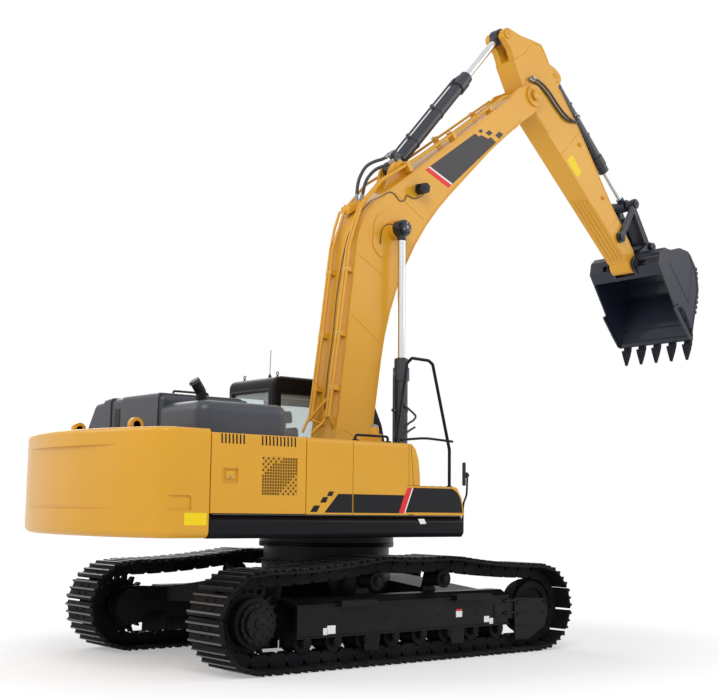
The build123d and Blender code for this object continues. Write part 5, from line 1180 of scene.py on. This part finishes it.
def make_arm():
    """Labels, flange edges, welds, wear bars, hoses and pin caps of the arm."""
    label = [(1.091, 0.089), (1.140, 0.110), (1.398, 0.086), (1.409, -0.030), (1.360, -0.050),
             (1.091, -0.045)]
    for side, word in SIDES:
        film(arm, label, side * (ARM_HALF + 0.0004), "arm_label_" + word, "arm", "yellow_paint", film_yellow)
    edges = [lip_along(arm, arc_line(line), 0.016, 0.1745, 0.181) for line in (
        [(-0.500, 0.655), (-0.400, 0.770, 0.060), (-0.260, 0.745, 0.080), (-0.110, 0.7025)],
        [(0.270, 0.6085), (0.900, 0.530), (2.250, 0.255), (2.800, 0.182), (2.970, 0.145)],
        [(2.940, -0.0850), (0.250, -0.1042), (0.120, -0.080)])]
    both(edges, "arm_flange_edges", "arm", *YELLOW)
    welds = [bead(arm, line, -ARM_HALF) for line in ([(-0.56, 0.12), (-0.50, 0.36), (-0.52, 0.62)],
                                                     [(2.35, -0.07), (2.37, 0.21)],
                                                     [(0.95, -0.09), (0.97, 0.50)])]
    both(welds, "arm_welds", "arm", *YELLOW)
    bars = [sheet([arm.at(1.75, -0.0945, y - 0.014), arm.at(2.90, -0.0865, y - 0.014),
                   arm.at(2.90, -0.0865, y + 0.014), arm.at(1.75, -0.0945, y + 0.014)], arm.way(0, -0.008),
                  0.002, 1) for y in (-0.105, -0.035, 0.035, 0.105)]
    fit(bars, "arm_wear_bars", "arm", *YELLOW)
    # formed hoses from the boom's lines over the pivot to the bucket cylinder
    hoses, unions = [], []
    for shift, y in ((0.0, -0.205), (0.045, -0.225)):
        run = [(-0.181, 0.154 + shift), (-0.031, 0.252 + shift), (0.146, 0.296 + shift),
               (0.405, 0.303 + shift), (0.603, 0.333 + shift), (0.746, 0.423 + shift * 0.5),
               (0.803 + shift, 0.562), (0.792 + shift, 0.705)]
        hoses.append(tube([arm.at(a, b, y if i < 6 else y + 0.06 * (i - 5)) for i, (a, b) in enumerate(run)],
                          0.016, 0.12, 5, 8))
        unions.append(turned([(-0.01, 0.020), (0.035, 0.020), (0.036, 0.026), (0.060, 0.026)],
                             arm.at(*run[-1], y + 0.12), arm.way(0, 1), 6))
        unions.append(turned([(-0.030, 0.026), (0.0, 0.026), (0.001, 0.020), (0.050, 0.020)],
                             arm.at(*run[0], y), arm.way(0.85, 0.55), 6))
    fit(hoses, "arm_hoses", "arm", *HOSE)
    fit(unions, "arm_hose_unions", "arm", *STEEL)
    brackets = []
    for a, b in ((1.099, 0.359), (1.956, 0.189)):
        foot = arm.at(a, b, -ARM_HALF)
        brackets.append(sheet([foot + Vector((u, 0, v)) for u, v in (
            (-0.022, -0.022), (0.022, -0.022), (0.022, 0.022), (-0.022, 0.022))], (0, -0.028, 0), 0.004))
        brackets.append(hexes([foot + Vector((0, -0.028, 0))], RIGHT, 0.011, 0.010))
    fit(brackets, "arm_brackets", "arm", *YELLOW)
    caps, plates = [], []
    for side in (-1, 1):
        for spot, y, radius in ((rocker_pin, 0.240, 0.058), (bucket_pin, 0.265, 0.064)):
            caps += pin_cap(spot, side * y, [(-0.012, radius), (0.004, radius), (0.008, radius - 0.006)], 28,
                            0.014, 0.012)
        for spot, y in ((bucket_cylinder_foot, 0.125), (arm_cylinder_top, 0.190)):
            plates += pin_cap(spot, side * y, [(-0.010, 0.062), (0.002, 0.062), (0.005, 0.056)],
                              28, 0.012, 0.010)
    fit(caps, "arm_pin_caps", "arm", "black_paint", bucket_black)
    fit(plates, "arm_cylinder_pin_caps", "arm", *YELLOW)


def ring_around(link, along, half, y, inner, outer):
    """Band round a cylinder that lies along a link."""
    return turned([(0.0, inner), (0.0, outer), (2 * half, outer), (2 * half, inner)],
                  link.at(along - half, 0, y), link.way(1, 0), 36, 0.002)


def brick_along(link, along, low, high, y0, y1, half):
    """Small block square to a link, from low to high above its axis."""
    return link.plate([(along - half, low), (along + half, low), (along + half, high), (along - half, high)],
                      y0, y1 - y0, 0.003, 1)


def make_cylinders():
    """Bands, feed pipes and glands of the cylinders; hoses and rod eye caps of the boom cylinders."""
    sets = (
        # body, foot, top, sides, barrel radius, rod radius, barrel end, bands
        ("boom_barrels", boom_cylinder_foot, boom_top_pin, (-CYLINDER_Y, CYLINDER_Y), 0.082, 0.048, 1.860,
         (0.62, 1.25)),
        ("arm_barrel", arm_cylinder_foot, arm_cylinder_top, (0.0,), 0.088, 0.052, 2.0096, (0.55, 1.20)),
        ("bucket_barrel", bucket_cylinder_foot, rocker_top, (0.0,), 0.080, 0.043, 1.6404, (0.50, 1.05)),
    )
    for body, foot, top, sides, wide, thin, end, bands in sets:
        link = toward(foot, top)[0]
        axis = link.way(1, 0)
        face = end + 0.0215
        pieces, steel = [], []
        for y in sides:
            for along in bands:
                pieces.append(ring_around(link, along, 0.016, y, wide + 0.0005, wide + 0.007))
                pieces.append(brick_along(link, along, wide + 0.006, wide + 0.058, y - 0.020, y + 0.020,
                                          0.018))
            pipe = [(0.205, wide * 0.90), (0.205, wide + 0.034), (end - 0.235, wide + 0.034),
                    (end - 0.185, wide + 0.030), (end - 0.150, wide + 0.012)]
            pieces.append(tube(link.line(pipe, y), 0.015, 0.05, 4, 5))
            pieces.append(turned([(0.0, wide + 0.004), (0.020, wide + 0.004), (0.022, wide - 0.004)],
                                 link.at(end - 0.0005, 0, y), axis, 36))
            ring = []
            for i in range(10):
                turn = math.tau * i / 10
                ring.append(link.at(face, 0.066 * math.cos(turn) * (wide / 0.082),
                                    y + 0.066 * math.sin(turn) * (wide / 0.082)))
            steel.append(hexes(ring, axis, 0.008, 0.008, washer=False))
            pieces.append(turned([(0.0, thin + 0.014), (0.012, thin + 0.012), (0.016, thin + 0.003)],
                                 link.at(face, 0, y), axis))
        fit(pieces, body + "_fittings", body, "black_paint", barrel_black)
        fit(steel, body + "_gland_bolts", body, *BLACK_TRIM)
    # hose loop and feed on each boom cylinder's barrel
    loops = []
    for side in (-1, 1):
        y = side * CYLINDER_Y
        out = side * 0.100
        loops.append(tube([(0.742, y + side * 0.060, 3.12), (0.738, y + side * 0.100, 2.98),
                           (0.752, y + out, 2.88), (0.880, y + out * 1.15, 2.80),
                           (0.960, y + out * 1.15, 2.745), (0.925, y + out, 2.690), (0.860, y + out, 2.665),
                           (0.800, y + side * 0.085, 2.60)], 0.013, 0.06, 4, 6))
        loops.append(tube([(0.781, side * 0.470, 2.498), (0.851, side * 0.500, 2.566),
                           (0.930, side * 0.520, 2.612)], 0.013, 0.04, 3, 5))
    fit(loops, "boom_cylinder_hoses", "boom_barrels", *HOSE)
    ports = [boom.plate([(3.745, 1.335), (3.850, 1.325), (3.880, 1.440), (3.775, 1.465)], -0.125, 0.085,
                        0.008), hexes(boom.line([(3.80, 1.42), (3.83, 1.36)], -0.125), RIGHT, 0.012, 0.010)]
    fit(ports, "arm_cylinder_ports", "arm_barrel", "black_paint", barrel_black)
    # caps with bolts on the outer face of the boom cylinders' rod eyes
    caps, bolts = [], []
    for side in (-1, 1):
        way = (0, side, 0)
        y = side * (CYLINDER_Y + 0.083)
        caps.append(turned([(0.0, 0.078), (0.010, 0.076), (0.014, 0.068), (0.014, 0.040), (0.018, 0.038)],
                           (boom_top_pin.x, y, boom_top_pin.z), way, 40))
        bolts.append(hexes(ring_of(3, 0.056, (boom_top_pin.x, boom_top_pin.z), y + side * 0.014, 90), way,
                           0.010, 0.009))
        bolts.append(hexes([(boom_top_pin.x, y + side * 0.018, boom_top_pin.z)], way, 0.016, 0.012))
    fit(caps, "rod_eye_caps", "boom_rods", "black_paint", bucket_black)
    fit(bolts, "rod_eye_bolts", "boom_rods", *STEEL)


def make_links():
    """Pin caps and edge strips of the rockers and of the link."""
    caps = []
    for side in (-1, 1):
        caps += pin_cap(rocker_top, side * ROCKER_FACE, [(0.0, 0.062), (0.016, 0.062), (0.022, 0.054)], 32,
                        0.016, 0.014)
        caps.append(hexes(ring_of(3, 0.038, (rocker_top.x, rocker_top.z), side * 0.2476, 30), (0, side, 0),
                          0.007, 0.006, washer=False))
    link, length = toward(rocker_pin, rocker_top)
    for side in (-1, 1):
        y = side * ROCKER_FACE
        for line in ([(0.10, 0.030), (length - 0.11, 0.022)], [(length - 0.11, -0.022), (0.10, -0.030)]):
            caps.append(lip_along(link, line, 0.008, y, y + side * 0.006))
    fit(caps, "rocker_caps", "rockers", *BUCKET_STEEL)
    pieces = []
    link, length = toward(link_foot, rocker_top)
    for side in (-1, 1):
        y = side * 0.1752
        pieces.append(turned([(0.0, 0.080), (0.004, 0.080), (0.006, 0.074)], (link_foot.x, y, link_foot.z),
                             (0, side, 0), 36))
        for line in ([(0.09, 0.052), (length - 0.10, 0.036)], [(length - 0.10, -0.036), (0.09, -0.052)]):
            pieces.append(lip_along(link, line, 0.010, y, y + side * 0.004))
    for y in (-0.07, 0.07):
        pieces.append(bead(link, [(0.09, 0.023), (length - 0.20, 0.023)], y, 0.004))
    fit(pieces, "h_link_edges", "h_link", *BUCKET_STEEL)


def wear_blocks():
    """Short blocks down the right edge of the bucket's back, kept inside the machine's box."""
    path = [(1.080, 0.378), (1.020, 0.437), (0.960, 0.495), (0.900, 0.553), (0.845, 0.607), (0.790, 0.660),
            (0.735, 0.698), (0.660, 0.727), (0.590, 0.752), (0.520, 0.778), (0.460, 0.793), (0.400, 0.792)]
    blocks = []
    for before, spot, after in zip(path, path[1:], path[2:]):
        run = (bucket.at(*after) - bucket.at(*before)).normalized()
        out = Vector((run.z, 0, -run.x))
        if out.dot(bucket.at(*spot) - bucket.at(0.5, 0.2)) < 0:
            out = -out
        foot = bucket.at(*spot, -0.648)
        half = run * 0.024
        room = cad_box[1][0] - 0.001 - foot.x - 0.024 * abs(run.x)
        rise = min(0.030, room / max(out.x, 0.2))
        if rise > 0.004:
            blocks.append(sheet([foot - half - out * 0.030, foot + half - out * 0.030,
                                 foot + half + out * rise, foot - half + out * rise], (0, 0.110, 0),
                                0.003, 1))
    return blocks


def make_bucket():
    """Welds, edge plates, cutters, adapters, tooth pins, wear blocks and pin caps of the bucket."""
    welds = [bead(bucket, [(0.356, 0.736), (0.833, 0.342)], -BUCKET_HALF, 0.004),
             bead(bucket, [(0.120, 0.20), (0.30, 0.24), (0.62, 0.30), (0.833, 0.342)], -BUCKET_HALF, 0.004)]
    both(welds, "bucket_side_welds", "bucket", *BUCKET_STEEL)
    rim = [(0.220, 0.752), (0.400, 0.771), (0.500, 0.764), (0.640, 0.718), (0.765, 0.655), (1.270, 0.185)]
    both(lip_along(bucket, rim, 0.022, -BUCKET_HALF, -0.656), "bucket_edge_plates", "bucket", *BUCKET_STEEL)
    bolts = hexes(bucket.line([(0.84, 0.075), (1.01, 0.105), (1.20, 0.135)], -0.6792), RIGHT, 0.022, 0.016)
    both(bolts, "side_cutter_bolts", "bucket", "bucket_steel", tooth_black)
    across = [tube([bucket.at(1.262, 0.100, -0.610), bucket.at(1.262, 0.100, 0.610)], 0.006, 0.01, 2, 2),
              tube([bucket.at(1.120, 0.232, -0.615), bucket.at(1.120, 0.232, 0.615)], 0.005, 0.01, 2, 2)]
    fit(across, "lip_weld", "bucket", *BUCKET_STEEL)
    # adapters' saddles on the lip and the pins that hold the teeth
    corner = bucket.at(1.340, 0.112)
    lip = Link(corner.x, corner.z, BUCKET_TURN - 29)
    saddles, pins = [], []
    for i in range(5):
        y = -0.565 + i * 0.2825
        saddles.append(sheet([lip.at(a, b, y + c) for a, b, c in (
            (-0.300, 0.052, -0.030), (-0.150, 0.064, -0.040), (-0.020, 0.070, -0.045), (-0.020, 0.070, 0.045),
            (-0.150, 0.064, 0.040), (-0.300, 0.052, 0.030))], lip.way(0, 0.014), 0.004))
        pins.append(rod(lip.at(0.070, 0.012, y - 0.061), lip.at(0.070, 0.012, y + 0.061), 0.017, 18))
        pins.append(sheet([lip.at(a, b, y + c) for a, b, c in (
            (0.045, 0.066, -0.052), (0.060, 0.0645, -0.052), (0.060, 0.0645, 0.052), (0.045, 0.066, 0.052))],
            lip.way(0, 0.006), 0.002, 1))
    fit(saddles, "adapter_saddles", "bucket", *BUCKET_STEEL)
    fit(pins, "tooth_pins", "bucket", "tooth_steel", tooth_black)
    both(wear_blocks(), "bucket_wear_blocks", "bucket", "bucket_steel", tooth_black)
    cutter = bucket.plate([(0.766, 0.006), (0.806, 0.122), (0.925, 0.156), (1.290, 0.153), (1.290, 0.116),
                           (1.030, 0.058)], -0.6752, -0.004, 0.001, 1)
    both(cutter, "side_cutter_faces", "bucket", "bucket_steel", tooth_black)
    caps = []
    for side in (-1, 1):
        caps += pin_cap(link_foot, side * 0.265, [(-0.012, 0.060), (0.004, 0.060), (0.008, 0.053)],
                        28, 0.014, 0.012)
        caps.append(turned([(0.0, 0.098), (0.006, 0.098), (0.010, 0.090)],
                           (bucket_pin.x, side * 0.2308, bucket_pin.z), (0, side, 0), 36))
    fit(caps, "bucket_pin_caps", "bucket", *BUCKET_STEEL)


CAB_RIGHT = 0.505
CAB_LEFT = 1.490
CAB_ROOF = 3.208
SEAL_LEFT = CAB_LEFT - 0.022
SEAT_Y = 0.9975
SEAT_FORWARD = 0.200
SEAT_PIVOT = (0, 0, 2.08)
SEAT_LEAN = -6.5
SWELL_LIMIT = 0.012


def loop_tube(points, radius, bend=0.04, sides=3):
    """Round seal that runs round an opening and closes on itself."""
    first, last = Vector(points[0]), Vector(points[-1])
    start = (first + last) / 2
    return tube([start] + [Vector(p) for p in points] + [start + (first - last) * 0.0001],
                radius, bend, sides, 5)


def stuffed(low, high, turn=0.0):
    """Cushion: a rounded block, remeshed and blown up as cloth, then leaned about the seat's pivot."""
    piece = brick(Vector(low) + Vector((0.012, 0.012, 0.010)), Vector(high) - Vector((0.012, 0.012, 0.010)),
                  0.035, 4)
    alone(piece)
    net = piece.modifiers.new("net", "REMESH")
    net.mode = "VOXEL"
    net.voxel_size = 0.014
    bpy.ops.object.modifier_apply(modifier=net.name)
    still = [v.co.copy() for v in piece.data.vertices]
    cloth = piece.modifiers.new("filling", "CLOTH")
    cloth.settings.use_pressure = True
    cloth.settings.uniform_pressure_force = 4
    cloth.settings.quality = 4
    cloth.settings.effector_weights.gravity = 0
    cloth.point_cache.frame_start, cloth.point_cache.frame_end = 1, 20
    for step in range(1, 21):
        bpy.context.scene.frame_set(step)
    alone(piece)
    bpy.ops.object.modifier_apply(modifier=cloth.name)
    bpy.context.scene.frame_set(1)
    for vertex, before in zip(piece.data.vertices, still):
        way = vertex.co - before
        if way.length > SWELL_LIMIT:
            vertex.co = before + way * (SWELL_LIMIT / way.length)
    finer = piece.modifiers.new("finer", "SUBSURF")
    finer.levels = finer.render_levels = 1
    alone(piece)
    bpy.ops.object.modifier_apply(modifier=finer.name)
    if turn:
        pivot = Vector(SEAT_PIVOT)
        piece.data.transform(Matrix.Translation(pivot) @ Matrix.Rotation(math.radians(turn), 4, "Y")
                             @ Matrix.Translation(-pivot))
    bpy.ops.object.shade_smooth_by_angle(angle=math.radians(60))
    return piece


def make_windows():
    """Seals round the windows, the door's seal, handle and inner rail."""
    right = [(-0.340, 2.250), (-0.340, 3.010), (0.960, 3.010), (1.180, 2.600), (1.260, 2.250)]
    left = [(-0.340, 2.350), (-0.340, 3.010), (0.100, 3.010), (0.100, 2.350)]
    rear = [(0.615, 2.400), (0.615, 3.030), (1.380, 3.030), (1.380, 2.400)]
    lines = ([(x, CAB_RIGHT + 0.020, z) for x, z in right], [(x, SEAL_LEFT, z) for x, z in left],
             [(-0.428, y, z) for y, z in rear])
    fit([loop_tube(line, 0.011, 0.03) for line in lines], "window_seals", "upper", *CAB_TRIM)
    pane = [(0.280, 2.300), (0.280, 2.960), (0.990, 2.960), (1.045, 2.650), (1.045, 2.300)]
    grip = [(0.980, 0.004, 2.165), (0.980, 0.040, 2.165), (1.070, 0.040, 2.165), (1.070, 0.004, 2.165)]
    rail = [(0.335, 0.002, 1.800), (0.335, 0.045, 1.800), (0.335, 0.045, 2.240), (0.335, 0.002, 2.240)]
    door = [loop_tube([(x, SEAL_LEFT, z) for x, z in pane], 0.011, 0.03),
            brick((0.965, CAB_LEFT, 2.090), (1.085, CAB_LEFT + 0.006, 2.200), 0.003),
            tube([(x, CAB_LEFT + y, z) for x, y, z in grip], 0.009, 0.015, 3, 4),
            tube([(x, CAB_LEFT + y, z) for x, y, z in rail], 0.012, 0.03, 4, 5)]
    fit(door, "door_handle", "cab_door", *CAB_TRIM)


def make_roof():
    """Grab rail beside the door, antenna, eyebolts, gutters, wiper, rear window rim and roof lamps."""
    rail = [(-0.004, 1.850), (0.055, 1.850), (0.055, 2.420), (-0.004, 2.420)]
    roof = [tube([(1.235, CAB_LEFT + y, z) for y, z in rail], 0.014, 0.04, 4, 5),
            tube([(-0.337, 0.75, CAB_ROOF), (-0.336, 0.75, 3.30), (-0.328, 0.75, 3.554)], 0.004, 0.02, 2, 3),
            turned([(0.0, 0.022), (0.020, 0.020), (0.045, 0.008)], (-0.337, 0.75, CAB_ROOF), UP, 20)]
    for x, y in ((-0.30, 0.640), (-0.30, 1.350), (0.88, 0.640), (0.88, 1.350)):
        roof.append(turned([(0.0, 0.024), (0.012, 0.024), (0.014, 0.012), (0.030, 0.012)], (x, y, CAB_ROOF),
                           UP, 20))
        eye = [(x, y + 0.022 * math.cos(math.radians(t)), 3.256 + 0.022 * math.sin(math.radians(t)))
               for t in range(-90, 271, 45)]
        roof.append(tube(eye, 0.006, 0.008, 3, 3))
    for y in (0.575, 1.420):
        roof.append(tube([(-0.30, y, 3.213), (0.92, y, 3.213)], 0.008, 0.02, 2, 2))
    wiper_foot = Vector((1.418, 1.10, 2.215))
    roof.append(turned([(0.0, 0.024), (0.016, 0.022), (0.022, 0.012)], wiper_foot, (1, 0, 0.1), 20))
    roof.append(tube([wiper_foot + Vector((0.020, 0, 0)), (1.405, 1.06, 2.42), (1.325, 0.98, 2.67)],
                     0.006, 0.02, 3, 3))
    roof.append(tube([(1.372, 1.00, 2.50), (1.285, 0.96, 2.78)], 0.008, 0.02, 3, 2))
    rim = loop_tube([(-0.453, y, z) for y, z in ((0.592, 2.375), (0.592, 3.052), (1.403, 3.052),
                                                 (1.403, 2.375))], 0.008)
    fit(rim, "rear_window_rim", "upper", "trim_plastic", film_grey)
    fit(roof, "cab_roof_fittings", "upper", *CAB_TRIM)
    lamp_ys = (0.66, 1.33)
    lamps = [brick((0.985, y - 0.055, 3.196), (1.055, y + 0.055, 3.270), 0.012, 3) for y in lamp_ys]
    fit(lamps, "roof_lamps", "upper", *CAB_TRIM)
    lenses = [brick((1.055, y - 0.045, 3.205), (1.059, y + 0.045, 3.261), 0.001, 1) for y in lamp_ys]
    fit(lenses, "roof_lamp_lenses", "upper", "cab_glass", lamp_glass)


def make_seat():
    """Plinth with bellows, cushion, back and head pad with piping."""
    ahead = Matrix.Translation((SEAT_FORWARD, 0, 0))
    plinth = [brick((0.070, SEAT_Y - 0.215, 1.6655), (0.500, SEAT_Y + 0.215, 1.765), 0.012, 3)]
    for k in range(5):
        low = 1.765 + 0.040 * k
        plinth.append(brick((0.085, SEAT_Y - 0.200, low), (0.485, SEAT_Y + 0.200, low + 0.034), 0.014, 3))
    plinth.append(brick((0.050, SEAT_Y - 0.235, 1.965), (0.540, SEAT_Y + 0.235, 2.003), 0.010, 3))
    for side in (-1, 1):
        plinth.append(flat([(-0.035, 2.030), (0.085, 2.010), (0.060, 2.130), (-0.045, 2.140)],
                           SEAT_Y + side * 0.226, side * 0.010, 0.003))
    plinth = joined(plinth)
    plinth.data.transform(ahead)
    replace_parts(fit(plinth, "seat_plinth", "upper", *CAB_TRIM), "operator_seat")
    pads = (("seat_cushion", stuffed((0.045, SEAT_Y - 0.245, 2.000), (0.558, SEAT_Y + 0.245, 2.115))),
            ("seat_back", stuffed((-0.085, SEAT_Y - 0.235, 2.100), (0.020, SEAT_Y + 0.235, 2.650),
                                  SEAT_LEAN)), ("head_pad", stuffed((-0.085, SEAT_Y - 0.140, 2.672),
                                                                    (0.010, SEAT_Y + 0.140, 2.850),
                                                                    SEAT_LEAN)))
    for name, pad in pads:
        pad.data.transform(ahead)
        fit(pad, name, "upper", "seat_fabric", seat_cloth)
    piping = []
    for z in (2.030, 2.092):
        piping.append(loop_tube([(x, SEAT_Y + y, z) for x, y in (
            (0.062, -0.238), (0.062, 0.238), (0.552, 0.238), (0.552, -0.238))], 0.004, 0.05, 2))
    piping = joined(piping)
    piping.data.transform(ahead)
    fit(piping, "seat_piping", "upper", "seat_fabric", trim_black)


def make_controls():
    """Arm rests with their levers, monitor on its post, travel pedals."""
    parts = []
    for side in (-1, 1):
        y = SEAT_Y + side * 0.330
        parts.append(brick((0.090, y - 0.050, 2.2255), (0.420, y + 0.050, 2.275), 0.018, 3))
        parts.append(turned([(0.0, 0.034), (0.030, 0.030), (0.060, 0.020), (0.090, 0.014)],
                            (0.510, y, 2.2255), (0.1, 0, 1), 24))
        parts.append(rod((0.516, y, 2.300), (0.530, y, 2.350), 0.010, 12))
        parts.append(turned([(0.0, 0.014), (0.020, 0.022), (0.070, 0.026), (0.100, 0.022), (0.112, 0.012)],
                            (0.530, y, 2.345), (0.15, 0, 1), 20))
    parts.append(brick((1.02, 0.620, 2.02), (1.06, 0.860, 2.20), 0.010, 3))
    parts.append(rod((1.06, 0.740, 1.66), (1.045, 0.740, 2.03), 0.016, 16))
    for y in (SEAT_Y - 0.09, SEAT_Y + 0.09):
        parts.append(tube([(1.00, y, 1.66), (0.98, y, 1.90), (0.93, y, 2.02)], 0.010, 0.05, 3, 4))
        parts.append(brick((0.95, y - 0.045, 1.6655), (1.10, y + 0.045, 1.690), 0.006))
    fit(parts, "controls", "upper", *CAB_TRIM)
    fit(brick((1.017, 0.632, 2.032), (1.020, 0.848, 2.188), 0),
        "monitor_face", "upper", "trim_plastic", film_grey)


def make_hood_details():
    """Grab rail, painted shade of the groove in the hood's rear face, and catches of the engine hood."""
    rail = tube([(x, -0.30, z) for x, z in ((-2.330, 2.795), (-2.330, 2.835), (-1.900, 2.835),
                                            (-1.900, 2.795))], 0.012, 0.03, 4, 5)
    # black strip on the hood's rear face: painted shade standing in for the shadow in the groove between two
    # raised ribs
    groove_shade = brick((-2.5945, 0.365, 2.380), (-2.5905, 0.480, 2.668), 0.001, 1)
    catches = [brick((-2.6045, y - 0.045, 2.352), (-2.592, y + 0.045, 2.402), 0.005)
               for y in (-0.30, 0.35, 0.95)]
    for piece, name in ((rail, "hood_grab_rail"), (groove_shade, "hood_groove_shade"), (catches, "hood_catches")):
        fit(piece, name, "engine_hood", "hood_plastic", trim_black)


make_camera()
make_light()
make_floor()
dress_cad()
make_tracks()
make_undercarriage()
make_livery()
make_doors()
make_tank_tops()
make_mirror()
make_deck_details()
make_boom_plates()
make_boom_lines()
make_boom_caps()
make_lamp()
make_arm()
make_cylinders()
make_links()
make_bucket()
make_windows()
make_roof()
make_seat()
make_controls()
make_hood_details()
